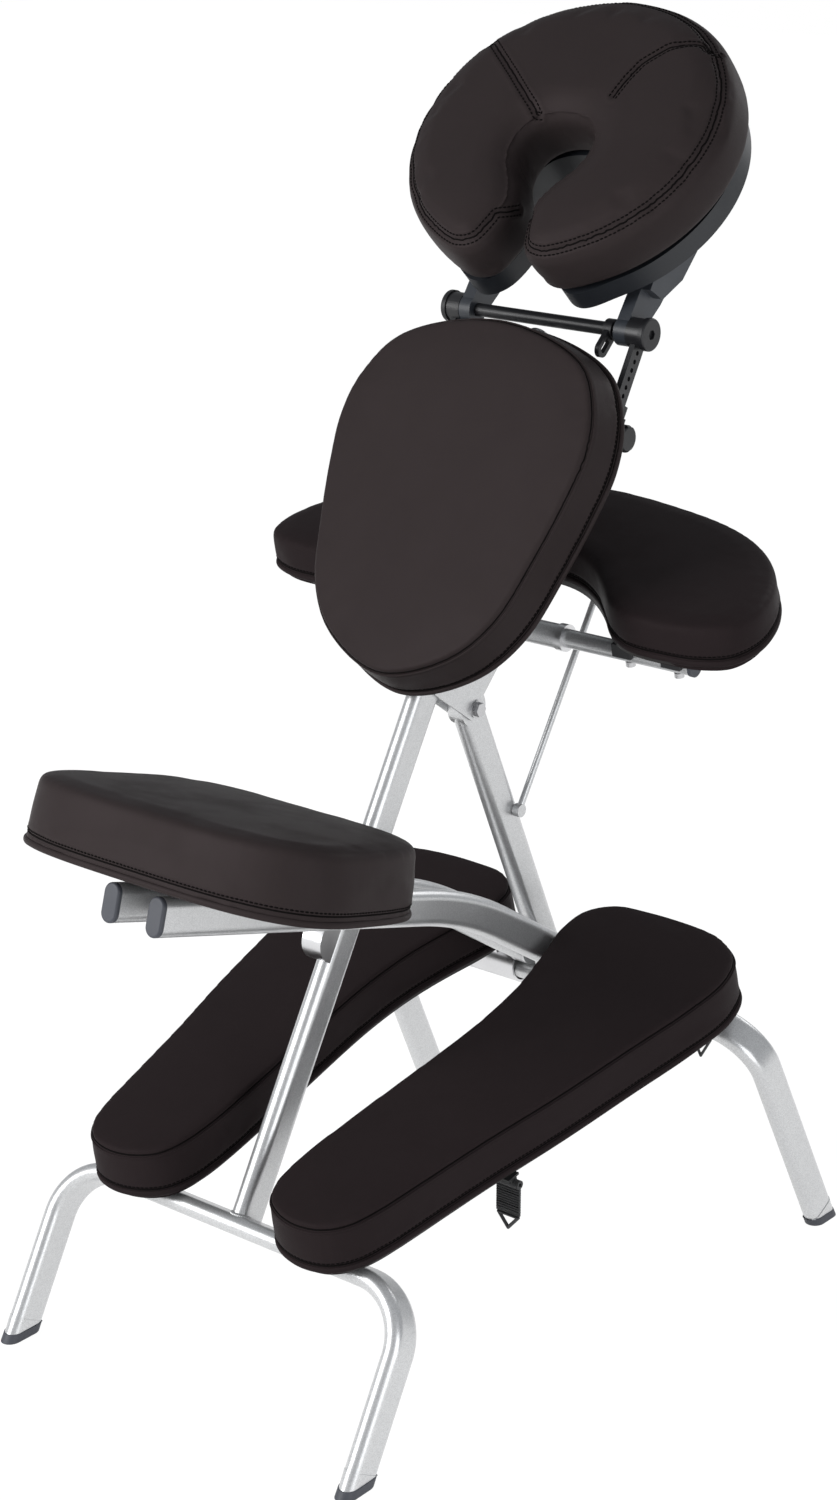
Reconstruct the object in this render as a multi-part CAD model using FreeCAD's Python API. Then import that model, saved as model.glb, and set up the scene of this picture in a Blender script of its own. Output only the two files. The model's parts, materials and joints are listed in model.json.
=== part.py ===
"""Kneeling massage chair: a folding A-frame of flat-oval tube that carries a seat, two knee
rests, a chest pad, an armrest and a tilting face cradle.

+X is the sitter's right, +Y points forward (from the seat to the face cradle), +Z is up.
The chair is laid out from the middle of its rear feet on the floor, then moved so that the
origin is the bottom centre of its overall box. Millimetres.
"""
import FreeCAD
import Part
import math
import os

V = FreeCAD.Vector
AXIS_X = V(1, 0, 0)

# ---------------------------------------------------------------- driving dimensions
# flat-oval tube that every frame member is cut from
TUBE_W = 19.0            # narrow side
TUBE_D = 38.0            # broad side
TUBE_WALL = 1.6
SLIDE_GAP = 0.3          # clearance of whatever slides or swings beside a tube
PIN_GAP = 0.08           # radial running clearance of a pin in its hole
REST_GAP = 0.1           # gap left where one piece simply lies on another
FIT_GAP = 0.04           # radial gap of pieces fixed on one another

# rear U frame and main post
REAR_FOOT_X = 222.5      # half the spacing of the rear feet
REAR_CROSS_Z = 162.5
REAR_TILT = 61.0         # legs, from the horizontal
BEND_R = 58.0            # centreline radius of the leg bends
POST_TILT = 60.0
POST_Y, POST_Z = 105.9, 175.0
POST_LEN = 904.0

# front U frame and strut
FRONT_FOOT_X = 270.0
FRONT_FOOT_Y = 728.0
FRONT_CROSS_Y, FRONT_CROSS_Z = 597.0, 262.0
LEG_SPLAY = 0.0465       # outward run of the front legs per unit of height
FOOT_CAP_H = 20.0
TUBE_LIFT = 14.0         # the leg tubes end this far up inside their caps
FOOT_CAP_T = 1.6

# fold hinge, in post coordinates (along the post, then square to it towards the sitter)
HINGE_A, HINGE_B = 539.3, -76.1
CHEEK_T = 3.0
BOLT_R = 5.0
KNOB_STEM_R = 4.0

# seat rails
RAIL_X = 28.0
RAIL_REAR_Y, RAIL_REAR_Z = -37.0, 532.0
RAIL_CORNER_Y, RAIL_CORNER_Z = 403.0, 405.9
RAIL_BEND_R = 480.0
RAIL_PIVOT_UP = 31.0     # pivot of the rails above the front cross tube, along the strut
SADDLE_A = 304.4         # rest for the rails' cross pin, along the post
PIN_OFF_POST = 16.0      # cross pin in front of the post's rear face

# cushions
CHEST_LEN, CHEST_W = 367.0, 309.0
CHEST_MID_A, CHEST_TOP_B = 713.0, 79.5
CHEST_T = 41.5
SEAT_W, SEAT_DEPTH = 355.0, 251.0
SEAT_MID_L = 112.0       # centre of the seat along the rails from their rear ends
SEAT_T = 62.3
ARM_TILT = 11.9
ARM_TOP = 621.9          # height of the arm pad's top plane, square to itself
ARM_T = 42.0
KNEE_TILT = 12.7
KNEE_TOP = 216.0
KNEE_T = 53.4
KNEE_BOARD_INSET = 7.0
FACE_TILT = 46.0
FACE_TOP = 395.0
FACE_T = 67.0
FACE_MID_S = 1250.0
FACE_W, FACE_H = 356.0, 322.0
FACE_ROUND = 16.0
PLATFORM_INSET = 7.0
PLATFORM_DROP = 6.0        # the tray peeks out below the lobes of the cushion
BOARD_T = 6.0            # plywood under the knee and arm cushions

# armrest
ARM_TUBE_Y, ARM_TUBE_Z = 500.0, 678.0
ARM_TUBE_R = 9.5
ARM_TUBE_HALF = 233.0
ARM_SLEEVE_R = 12.5
ARM_SLEEVE_HALF = 73.0
ROD_R = 3.6
ROD_X = 14.5
ROD_TOP_Y, ROD_TOP_Z = 664.0, 716.0
ROD_LOW_Y, ROD_LOW_Z = 512.0, 476.0

# face cradle
CROSSBAR_A = 928.0
CROSSBAR_R = 6.8
HUB_R = 15.0
CRADLE_X = 112.0         # middle of the height bars
BAR_T, BAR_W = 6.0, 17.0
BAR_B = -2.5
HOLES, HOLE_R = 15, 2.4    # setting holes in each height bar
HOLE_PITCH = 8.96
YOKE_A = 822.0

pieces = {}


# ---------------------------------------------------------------- helpers
def tilted(y, z, tilt):
    """Frame whose second axis climbs at tilt from the horizontal in the YZ plane."""
    return FreeCAD.Placement(V(0, y, z), FreeCAD.Rotation(AXIS_X, tilt))


def put(shape, frame):
    moved = shape.copy()
    moved.Placement = frame.multiply(moved.Placement)
    return moved


def mirrored(shape):
    return shape.mirror(V(0, 0, 0), AXIS_X)


def block(x0, x1, y0, y1, z0, z1):
    return Part.makeBox(x1 - x0, y1 - y0, z1 - z0, V(x0, y0, z0))


def rod(start, end, radius):
    run = end.sub(start)
    return Part.makeCylinder(radius, run.Length, start, run)


def cross_rod(x0, x1, y, z, radius):
    return rod(V(x0, y, z), V(x1, y, z), radius)


def hex_prism(x0, x1, y, z, flats):
    """Hexagon along X, flats mm across its flats."""
    corner = flats / math.sqrt(3)
    ring = [V(x0, y + corner * math.cos(k * math.pi / 3), z + corner * math.sin(k * math.pi / 3))
            for k in range(7)]
    return Part.Face(Part.makePolygon(ring)).extrude(V(x1 - x0, 0, 0))


def plate_yz(points, x0, x1):
    """Flat plate: a polygon of (second, third) axis points, from x0 to x1."""
    ring = [V(x0, p, q) for p, q in points]
    ring.append(ring[0])
    return Part.Face(Part.makePolygon(ring)).extrude(V(x1 - x0, 0, 0))


def smooth_face(points, height):
    """Face inside a smooth closed curve through (x, second axis) points."""
    curve = Part.BSplineCurve()
    curve.interpolate(Points=[V(x, s, height) for x, s in points], PeriodicFlag=True)
    return Part.Face(Part.Wire(curve.toShape()))


def slab(points, low, high):
    return smooth_face(points, low).extrude(V(0, 0, high - low))


def cushion(points, low, high, top_round):
    body = slab(points, low, high)
    rim = [e for e in body.Edges if abs(e.BoundBox.ZMin - high) < 0.01 and abs(e.BoundBox.ZMax - high) < 0.01]
    return body.makeFillet(top_round, rim)


def both_sides(half):
    """Whole outline from the +X half, listed from the end on the centre line to the other."""
    inner = [p for p in half if p[0] > 0]
    ends = [p for p in half if p[0] == 0]
    return [ends[0]] + inner + [ends[-1]] + [(-x, s) for x, s in reversed(inner)]


def shrunk(points, inset):
    """Outline moved inwards by about inset, along the direction to its centre."""
    cx = sum(p[0] for p in points) / len(points)
    cs = sum(p[1] for p in points) / len(points)
    rx = max(abs(p[0] - cx) for p in points)
    rs = max(abs(p[1] - cs) for p in points)
    return [(cx + (x - cx) * (1 - inset / rx), cs + (s - cs) * (1 - inset / rs)) for x, s in points]


def oval_face(centre, narrow, broad, grow):
    """Flat-oval section about centre; narrow and broad are unit directions."""
    r = TUBE_W / 2 + grow
    h = (TUBE_D - TUBE_W) / 2
    a = centre + narrow * r + broad * h
    b = centre - narrow * r + broad * h
    c = centre - narrow * r - broad * h
    d = centre + narrow * r - broad * h
    top = Part.Arc(a, centre + broad * (h + r), b).toShape()
    low = Part.Arc(c, centre - broad * (h + r), d).toShape()
    ring = Part.Wire([top, Part.makeLine(b, c), low, Part.makeLine(d, a)])
    return Part.Face(ring)


def oval_bar(y0, y1, grow=0.0):
    """Flat-oval bar along the second axis, broad side along the third."""
    return oval_face(V(0, y0, 0), V(1, 0, 0), V(0, 0, 1), grow).extrude(V(0, y1 - y0, 0))


def bent_oval(path, radii, flat_normal, broad_in_plane, grow):
    """Flat-oval bar along straight runs joined by arcs of the given radii at each corner."""
    runs = []
    start = path[0]
    for i in range(1, len(path)):
        way = (path[i] - path[i - 1]).normalize()
        if i < len(path) - 1:
            onward = (path[i + 1] - path[i]).normalize()
            turn = way.getAngle(onward)
            reach = radii[i - 1] * math.tan(turn / 2)
        else:
            turn, reach = 0.0, 0.0
        end = path[i] - way * reach
        across = flat_normal.cross(way)
        narrow, broad = (flat_normal, across) if broad_in_plane else (across, flat_normal)
        section = oval_face(start, narrow, broad, grow)
        runs.append(section.extrude(end - start))
        if turn:
            bend_axis = way.cross(onward).normalize()
            centre = end + bend_axis.cross(way) * radii[i - 1]
            section = oval_face(end, narrow, broad, grow)
            runs.append(section.revolve(centre, bend_axis, math.degrees(turn)))
            start = path[i] + onward * reach
    return runs[0].multiFuse(runs[1:]).removeSplitter()


def hollow(maker):
    return maker(0.0).cut(maker(-TUBE_WALL))


def group(*solids):
    return Part.makeCompound(list(solids))


def knob(base, axis, radius, height, stem_r, stem_len):
    """Round clamping knob with finger flutes; its stem runs from base against axis."""
    head = Part.makeCylinder(radius, height, base, axis)
    head = head.makeFillet(height * 0.2, [e for e in head.Edges if e.Curve.TypeId == "Part::GeomCircle"])
    side = axis.cross(AXIS_X) if abs(axis.x) < 0.5 else V(0, 1, 0)
    side.normalize()
    for k in range(8):
        spin = FreeCAD.Rotation(axis, 45.0 * k)
        at = base + spin.multVec(side) * (radius + 2.2)
        head = head.cut(Part.makeCylinder(4.0, height, at, axis))
    stem = Part.makeCylinder(stem_r, stem_len, base, axis.negative())
    return head.fuse(stem)


# ---------------------------------------------------------------- frames of reference
post = tilted(POST_Y, POST_Z, POST_TILT)
rear_plane = tilted(0, 0, REAR_TILT)
knee_plane = tilted(0, 0, KNEE_TILT)
arm_plane = tilted(0, 0, ARM_TILT)
face_plane = tilted(0, 0, FACE_TILT)
hinge = post.multVec(V(0, HINGE_A, HINGE_B))
front_cross = V(0, FRONT_CROSS_Y, FRONT_CROSS_Z)
strut_run = hinge - front_cross
strut_tilt = math.degrees(math.atan2(strut_run.z, strut_run.y))
strut = tilted(FRONT_CROSS_Y, FRONT_CROSS_Z, strut_tilt)
leg_run = front_cross - V(0, FRONT_FOOT_Y, 0)
front_plane = tilted(FRONT_FOOT_Y, 0, math.degrees(math.atan2(leg_run.z, leg_run.y)))
rail_dir = V(0, RAIL_CORNER_Y - RAIL_REAR_Y, RAIL_CORNER_Z - RAIL_REAR_Z).normalize()
rails = tilted(RAIL_REAR_Y, RAIL_REAR_Z, math.degrees(math.atan2(rail_dir.z, rail_dir.y)))
rail_pivot = strut.multVec(V(0, RAIL_PIVOT_UP, 0))
crossbar = post.multVec(V(0, CROSSBAR_A, 0))
cross_pin = post.multVec(V(0, SADDLE_A, TUBE_D / 2 + PIN_OFF_POST))


# ---------------------------------------------------------------- U frames with their feet
def u_path(foot_x, top_x, height):
    return [V(foot_x, 0, 0), V(top_x, height, 0), V(-top_x, height, 0), V(-foot_x, 0, 0)]


def u_tube(foot_x, top_x, height, grow, lift):
    path = u_path(foot_x, top_x, height)
    path[0] = path[0] + (path[1] - path[0]).normalize() * lift
    path[3] = path[3] + (path[2] - path[3]).normalize() * lift
    return bent_oval(path, [BEND_R, BEND_R], V(0, 0, 1), False, grow)


def foot_cap(foot_x, top_x, height, frame):
    """Rubber boot on the leg's end, flat where it stands."""
    way = (V(top_x, height, 0) - V(foot_x, 0, 0)).normalize()
    side = V(0, 0, 1).cross(way)
    start = V(foot_x, 0, 0) - way * TUBE_D
    boot = oval_face(start, side, V(0, 0, 1), FOOT_CAP_T).extrude(way * (TUBE_D + FOOT_CAP_H))
    bore = oval_face(V(foot_x, 0, 0) + way * (TUBE_LIFT), side, V(0, 0, 1), 0.0)
    boot = boot.cut(bore.extrude(way * FOOT_CAP_H))
    above_floor = block(-TUBE_D, TUBE_D, -100, 100, 0, 100).translate(V(foot_x, frame.Base.y, 0))
    return put(boot, frame).common(above_floor)


rear_height = REAR_CROSS_Z / math.sin(math.radians(REAR_TILT))
front_height = leg_run.Length
front_top_x = FRONT_FOOT_X - LEG_SPLAY * FRONT_CROSS_Z
rear_outer = put(u_tube(REAR_FOOT_X, REAR_FOOT_X, rear_height, 0.0, TUBE_LIFT), rear_plane)
rear_inner = put(u_tube(REAR_FOOT_X, REAR_FOOT_X, rear_height, -TUBE_WALL, TUBE_LIFT), rear_plane)
front_outer = put(u_tube(FRONT_FOOT_X, front_top_x, front_height, 0.0, TUBE_LIFT), front_plane)
front_inner = put(u_tube(FRONT_FOOT_X, front_top_x, front_height, -TUBE_WALL, TUBE_LIFT), front_plane)
pieces["rear_leg_tube"] = rear_outer.cut(rear_inner)
pieces["front_leg_tube"] = front_outer.cut(front_inner)
rear_boot = foot_cap(REAR_FOOT_X, REAR_FOOT_X, rear_height, rear_plane)
front_boot = foot_cap(FRONT_FOOT_X, front_top_x, front_height, front_plane)
pieces["rear_feet"] = group(rear_boot, mirrored(rear_boot))
pieces["front_feet"] = group(front_boot, mirrored(front_boot))

# ---------------------------------------------------------------- main post and front strut
post_foot = -22.0
pieces["main_post"] = put(oval_bar(post_foot, POST_LEN).cut(oval_bar(post_foot, POST_LEN, -TUBE_WALL)),
                          post).cut(rear_outer)
plug = oval_bar(POST_LEN, POST_LEN + 10)
plug_rim = [e for e in plug.Edges if e.BoundBox.YMin > POST_LEN + 9.9]
plug = plug.makeFillet(6.0, plug_rim).fuse(oval_bar(POST_LEN - 15, POST_LEN, -TUBE_WALL))
pieces["post_end_plug"] = put(plug, post)

strut_top = strut_run.Length
strut_crown = cross_rod(-TUBE_W / 2, TUBE_W / 2, strut_top, 0, TUBE_D / 2)
strut_bar = oval_bar(0, strut_top).fuse(strut_crown)
strut_core = oval_bar(0, strut_top - TUBE_D / 2, -TUBE_WALL)
strut_bar = strut_bar.cut(strut_core)
strut_bar = strut_bar.cut(cross_rod(-TUBE_W, TUBE_W, strut_top, 0, BOLT_R + PIN_GAP))
strut_bar = strut_bar.cut(cross_rod(-TUBE_W, TUBE_W, RAIL_PIVOT_UP, 0, BOLT_R + FIT_GAP))
pieces["front_strut"] = put(strut_bar, strut).cut(front_outer)

# cheek plates that carry the fold hinge and the armrest's sleeve
arm_in_post = post.inverse().multVec(V(0, ARM_TUBE_Y, ARM_TUBE_Z))
SA, SB = arm_in_post.y, arm_in_post.z
cheek_in = TUBE_W / 2 + SLIDE_GAP
cheek_edge = [(HINGE_A - 6, -3.0), (HINGE_A - 13, HINGE_B), (HINGE_A + 4, HINGE_B - 12),
              (HINGE_A + 16, HINGE_B - 4), (SA - 8, SB - 8), (SA + 12, SB - 4), (SA + 67, -3.0)]
cheek = plate_yz(cheek_edge, cheek_in, cheek_in + CHEEK_T)
cheek = cheek.cut(cross_rod(0, 30, HINGE_A, HINGE_B, BOLT_R))
weld_strip = block(TUBE_W / 2, cheek_in, HINGE_A, SA + 55, -(TUBE_D - TUBE_W) / 2, -4.0)
cheek = put(cheek.cut(cross_rod(0, 30, SA, SB, ARM_SLEEVE_R)).fuse(weld_strip), post)
pieces["hinge_cheeks"] = group(cheek, mirrored(cheek))
cheek_out = cheek_in + CHEEK_T


def cross_bolt(y, z, radius, half, head_flats):
    """Bolt along X with a hexagon head at +X, a nut at -X and a washer under each."""
    washer = radius * 1.9
    shank = cross_rod(-half - 9, half, y, z, radius)
    head = hex_prism(half + 1.5, half + 6.5, y, z, head_flats)
    collar = cross_rod(half, half + 1.5, y, z, washer)
    nut = hex_prism(-half - 6.5, -half - 1.5, y, z, head_flats)
    under = cross_rod(-half - 1.5, -half, y, z, washer)
    return shank.multiFuse([head, collar, nut, under])


pieces["fold_hinge_bolt"] = put(cross_bolt(HINGE_A, HINGE_B, BOLT_R, cheek_out, 13.0), post)
sleeve_bore = ARM_TUBE_R + PIN_GAP
pieces["arm_sleeve"] = cross_rod(-ARM_SLEEVE_HALF, ARM_SLEEVE_HALF, ARM_TUBE_Y, ARM_TUBE_Z, ARM_SLEEVE_R).cut(
    cross_rod(-ARM_SLEEVE_HALF, ARM_SLEEVE_HALF, ARM_TUBE_Y, ARM_TUBE_Z, sleeve_bore))

# rest on the post's rear face, notched for the rails' cross pin
PIN_R = 5.0
PIN_B = TUBE_D / 2 + PIN_OFF_POST
SADDLE_HALF = 12.0
LIP_DROP = 3.2           # the outer lip stays this far below the pin, so that it lifts out
saddle = block(-SADDLE_HALF, SADDLE_HALF, SADDLE_A - 55, SADDLE_A + 2, TUBE_D / 2, PIN_B + 9)
saddle = saddle.cut(block(-SADDLE_HALF, SADDLE_HALF, SADDLE_A, SADDLE_A + 9, PIN_B - PIN_R - SLIDE_GAP,
                          PIN_B + PIN_R + SLIDE_GAP))
saddle = saddle.cut(cross_rod(-SADDLE_HALF, SADDLE_HALF, SADDLE_A, PIN_B, PIN_R + SLIDE_GAP))
saddle = saddle.cut(block(-SADDLE_HALF, SADDLE_HALF, SADDLE_A - LIP_DROP, SADDLE_A + 9, PIN_B, PIN_B + 12))
saddle_toe = [e for e in saddle.Edges if e.BoundBox.YMax < SADDLE_A - 54.9 and e.BoundBox.ZMin > PIN_B + 8.9]
saddle = saddle.makeFillet(21.0, saddle_toe)
saddle = saddle.cut(cross_rod(-SADDLE_HALF, SADDLE_HALF, SADDLE_A - 20, PIN_B - 6, 3.2))
pieces["rail_saddle"] = put(saddle, post)
saddle_screw = cross_rod(-SADDLE_HALF - 1, SADDLE_HALF + 1, SADDLE_A - 20, PIN_B - 6, 3.2)
pieces["saddle_screw"] = put(saddle_screw, post)


# ---------------------------------------------------------------- seat rails and seat
def rail_path(x, end):
    corner = V(x, RAIL_CORNER_Y, RAIL_CORNER_Z)
    return [V(x, RAIL_REAR_Y, RAIL_REAR_Z), corner, V(x, end.y, end.z)]


def seat_rail(x):
    outer = bent_oval(rail_path(x, rail_pivot), [RAIL_BEND_R], AXIS_X, True, 0.0)
    tip = rail_pivot - (rail_pivot - V(0, RAIL_CORNER_Y, RAIL_CORNER_Z)).normalize() * (TUBE_D / 2)
    inner = bent_oval(rail_path(x, tip), [RAIL_BEND_R], AXIS_X, True, -TUBE_WALL)
    nose = cross_rod(x - TUBE_W / 2, x + TUBE_W / 2, rail_pivot.y, rail_pivot.z, TUBE_D / 2)
    bar = outer.fuse(nose).cut(inner)
    bar = bar.cut(cross_rod(x - 20, x + 20, rail_pivot.y, rail_pivot.z, BOLT_R + PIN_GAP))
    return bar.cut(cross_rod(x - 20, x + 20, cross_pin.y, cross_pin.z, PIN_R))


pieces["seat_rail_right"] = seat_rail(RAIL_X)
pieces["seat_rail_left"] = seat_rail(-RAIL_X)
cap = oval_bar(-5, 0)
cap = cap.makeFillet(2.5, [e for e in cap.Edges if e.BoundBox.YMax < -4.9])
cap = put(cap.fuse(oval_bar(0, 14, -TUBE_WALL)), rails)
pieces["rail_end_caps"] = group(cap.translated(V(RAIL_X, 0, 0)), cap.translated(V(-RAIL_X, 0, 0)))
rail_out = RAIL_X + TUBE_W / 2
rail_in = RAIL_X - TUBE_W / 2
pieces["rail_cross_pin"] = cross_rod(-rail_out - 2, rail_out + 2, cross_pin.y, cross_pin.z, PIN_R)
pieces["rail_pivot_bolt"] = cross_bolt(rail_pivot.y, rail_pivot.z, BOLT_R, rail_out + SLIDE_GAP, 13.0)
spacer = cross_rod(TUBE_W / 2, rail_in - SLIDE_GAP, rail_pivot.y, rail_pivot.z, 11.0)
spacer = spacer.cut(cross_rod(0, RAIL_X, rail_pivot.y, rail_pivot.z, BOLT_R))
pieces["rail_spacers"] = group(spacer, mirrored(spacer))

# seat carriage: plate on the rails, guide between them, cheek and knob on the left
CARRIAGE_L0, CARRIAGE_L1 = 62.0, 182.0
RAIL_TOP = TUBE_D / 2
plate = block(-62, 62, CARRIAGE_L0 - 12, CARRIAGE_L1 + 12, RAIL_TOP + SLIDE_GAP, RAIL_TOP + 6)
guide = block(-rail_in + SLIDE_GAP, rail_in - SLIDE_GAP, CARRIAGE_L0, CARRIAGE_L1, -12, RAIL_TOP + SLIDE_GAP)
cheek_plate = block(-rail_out - 5, -rail_out - SLIDE_GAP, CARRIAGE_L0 + 30, CARRIAGE_L1 - 30, -13, RAIL_TOP + 6)
carriage = plate.multiFuse([guide, cheek_plate])
SEAT_KNOB_L = (CARRIAGE_L0 + CARRIAGE_L1) / 2
carriage = carriage.cut(cross_rod(-rail_out - 10, -rail_out, SEAT_KNOB_L, 0, KNOB_STEM_R + PIN_GAP))
pieces["seat_carriage"] = put(carriage, rails)
seat_knob = knob(V(-rail_out - 6, SEAT_KNOB_L, 0), V(-1, 0, 0), 16.0, 13.0, KNOB_STEM_R, 5.7)
pieces["seat_knob"] = put(seat_knob, rails)


def seat_outline():
    """Rounded rectangle, a little narrower towards the front."""
    ring = []
    power = 2 / 3.36
    for k in range(24):
        turn = 2 * math.pi * k / 24
        c, s = math.cos(turn), math.sin(turn)
        depth = math.copysign(abs(s) ** power, s)
        width = math.copysign(abs(c) ** power, c) * (1 - 0.08 * depth)
        ring.append((SEAT_W / 2 * width, SEAT_MID_L + SEAT_DEPTH / 2 * depth))
    return ring


seat_low = RAIL_TOP + 6 + 3.4
pieces["seat_board"] = put(slab(shrunk(seat_outline(), 10), RAIL_TOP + 6, seat_low), rails)
pieces["seat_cushion"] = put(cushion(seat_outline(), seat_low + REST_GAP, seat_low + SEAT_T, 14.0), rails)

# ---------------------------------------------------------------- chest pad on its sliding collar
COLLAR_A0, COLLAR_A1 = 745.0, 795.0
CHEST_BOARD_T = 8.0
BOARD_LOW = CHEST_TOP_B - CHEST_T - CHEST_BOARD_T - REST_GAP
COLLAR_HALF = 15.0
COLLAR_FRONT = -TUBE_D / 2 - 6
collar = block(-COLLAR_HALF, COLLAR_HALF, COLLAR_A0, COLLAR_A1, COLLAR_FRONT, BOARD_LOW)
flange = block(-60, 60, COLLAR_A0 - 15, COLLAR_A1 + 15, BOARD_LOW - 5, BOARD_LOW)
collar = collar.fuse(flange).cut(oval_bar(COLLAR_A0 - 20, COLLAR_A1 + 20, SLIDE_GAP))
CHEST_KNOB_A = (COLLAR_A0 + COLLAR_A1) / 2
collar = collar.cut(rod(V(0, CHEST_KNOB_A, COLLAR_FRONT - 5), V(0, CHEST_KNOB_A, 0), KNOB_STEM_R + PIN_GAP))
pieces["chest_collar"] = put(collar, post)
chest_knob = knob(V(0, CHEST_KNOB_A, COLLAR_FRONT - 4), V(0, 0, -1), 17.0, 14.0, KNOB_STEM_R, 9.7)
pieces["chest_knob"] = put(chest_knob, post)

CHEST_HALF = [(0.0, 0.0), (0.50, 0.08), (0.744, 0.20), (0.878, 0.38), (0.97, 0.56), (1.0, 0.68),
              (0.94, 0.80), (0.73, 0.92), (0.0, 1.0)]
chest_ring = both_sides([(w * CHEST_W / 2, CHEST_MID_A + (t - 0.5) * CHEST_LEN) for w, t in CHEST_HALF])
pieces["chest_board"] = put(slab(shrunk(chest_ring, 9), BOARD_LOW, BOARD_LOW + CHEST_BOARD_T), post)
pieces["chest_cushion"] = put(cushion(chest_ring, CHEST_TOP_B - CHEST_T, CHEST_TOP_B, 6.0), post)

# ---------------------------------------------------------------- armrest
ARM_HALF = [(0, 842), (83, 832), (167, 810), (223, 779), (264, 738), (290, 689), (298, 645), (289, 615),
            (262, 600), (222, 596), (182, 599), (150, 617), (120, 648), (88, 677), (48, 700), (0, 708)]
arm_ring = both_sides(ARM_HALF)
arm_low = ARM_TOP - ARM_T
pieces["arm_cushion"] = put(cushion(arm_ring, arm_low, ARM_TOP, 8.0), arm_plane)
pieces["arm_board"] = put(slab(shrunk(arm_ring, 9), arm_low - BOARD_T, arm_low - REST_GAP), arm_plane)
arm_tube = cross_rod(-ARM_TUBE_HALF, ARM_TUBE_HALF, ARM_TUBE_Y, ARM_TUBE_Z, ARM_TUBE_R)
pieces["arm_tube"] = arm_tube.cut(cross_rod(-ARM_TUBE_HALF, ARM_TUBE_HALF, ARM_TUBE_Y, ARM_TUBE_Z, ARM_TUBE_R - 1.6))
stop = cross_rod(ARM_SLEEVE_HALF + 0.5, ARM_SLEEVE_HALF + 9.5, ARM_TUBE_Y, ARM_TUBE_Z, 14.0)
stop = stop.cut(cross_rod(0, ARM_TUBE_HALF, ARM_TUBE_Y, ARM_TUBE_Z, ARM_TUBE_R + FIT_GAP))
pieces["arm_stop_rings"] = group(stop, mirrored(stop))
arm_plug = cross_rod(ARM_TUBE_HALF, ARM_TUBE_HALF + 4, ARM_TUBE_Y, ARM_TUBE_Z, ARM_TUBE_R + 0.6)
arm_plug = arm_plug.fuse(cross_rod(ARM_TUBE_HALF - 12, ARM_TUBE_HALF, ARM_TUBE_Y, ARM_TUBE_Z, ARM_TUBE_R - 1.6))
pieces["arm_end_plugs"] = group(arm_plug, mirrored(arm_plug))

tube_in_arm = arm_plane.inverse().multVec(V(0, ARM_TUBE_Y, ARM_TUBE_Z))
TS, TC = tube_in_arm.y, tube_in_arm.z
BRIDGE_X = (158.0, 216.0)
arm_bridges = []
arm_bolts = []
for x in BRIDGE_X:
    bridge = block(x - 11, x + 11, TS - 14, TS + 14, TC, arm_low - BOARD_T)
    bridge = bridge.cut(cross_rod(x - 20, x + 20, TS, TC, ARM_TUBE_R + FIT_GAP))
    bridge = bridge.cut(rod(V(x, TS, TC), V(x, TS, TC + 40), 3.0))
    bolt = rod(V(x, TS, TC - ARM_TUBE_R - 5), V(x, TS, TC - ARM_TUBE_R), 5.0)
    bolt = bolt.fuse(rod(V(x, TS, TC - ARM_TUBE_R - 1), V(x, TS, arm_low - BOARD_T), 3.0))
    for side in (1, -1):
        arm_bridges.append(bridge if side > 0 else mirrored(bridge))
        arm_bolts.append(bolt if side > 0 else mirrored(bolt))
pieces["arm_bridges"] = put(group(*arm_bridges), arm_plane)
pieces["arm_bolts"] = put(group(*arm_bolts), arm_plane)
for bolt_x in BRIDGE_X:
    for side in (1, -1):
        hole = put(rod(V(side * bolt_x, TS, TC - 30), V(side * bolt_x, TS, TC + 40), 3.0), arm_plane)
        pieces["arm_tube"] = pieces["arm_tube"].cut(hole)

rod_top = V(ROD_X, ROD_TOP_Y, ROD_TOP_Z)
rod_low = V(ROD_X, ROD_LOW_Y, ROD_LOW_Z)
top_in_arm = arm_plane.inverse().multVec(rod_top)
EYE_HALF = ROD_R + 0.2
lug_x1 = ROD_X - EYE_HALF - SLIDE_GAP
lug = block(lug_x1 - 5, lug_x1, top_in_arm.y - 9, top_in_arm.y + 9, top_in_arm.z - 8, arm_low - BOARD_T)
lug = lug.fuse(cross_rod(lug_x1, ROD_X + EYE_HALF + 1, top_in_arm.y, top_in_arm.z, 3.0))
lug = lug.fuse(cross_rod(ROD_X + EYE_HALF + SLIDE_GAP, ROD_X + EYE_HALF + 2.5, top_in_arm.y, top_in_arm.z, 5.0))
pieces["rod_lug"] = put(lug, arm_plane)
EYE_R = 7.0
eye_top = cross_rod(ROD_X - EYE_HALF, ROD_X + EYE_HALF, ROD_TOP_Y, ROD_TOP_Z, EYE_R)
eye_low = cross_rod(ROD_X - EYE_HALF, ROD_X + EYE_HALF, ROD_LOW_Y, ROD_LOW_Z, EYE_R)
stay = rod(rod_low, rod_top, ROD_R).multiFuse([eye_top, eye_low])
stay = stay.cut(cross_rod(0, 30, ROD_TOP_Y, ROD_TOP_Z, 3.0 + PIN_GAP))
pieces["stay_rod"] = stay
pieces["rod_stud"] = cross_rod(TUBE_W / 2, ROD_X - EYE_HALF - 0.6, ROD_LOW_Y, ROD_LOW_Z, 6.0)

# ---------------------------------------------------------------- knee rests
KNEE_RING = [(93, 90), (122, 84), (149, 90), (168, 108), (179, 138), (188, 184), (204, 272), (223, 360), (240, 458),
             (255, 545), (258, 600), (244, 641), (212, 665), (177, 673), (120, 675), (74, 668), (51, 646), (46, 609),
             (58, 555), (70, 495), (74, 425), (69, 338), (62, 249), (58, 173), (62, 127), (73, 104)]
knee_low = KNEE_TOP - KNEE_T
cross_in_knee = knee_plane.inverse().multVec(front_cross)
SLEEVE_R = 22.0
SLEEVE_X0, SLEEVE_X1 = rail_out + 2.5, 120.0
board_low = knee_low - BOARD_T


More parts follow.
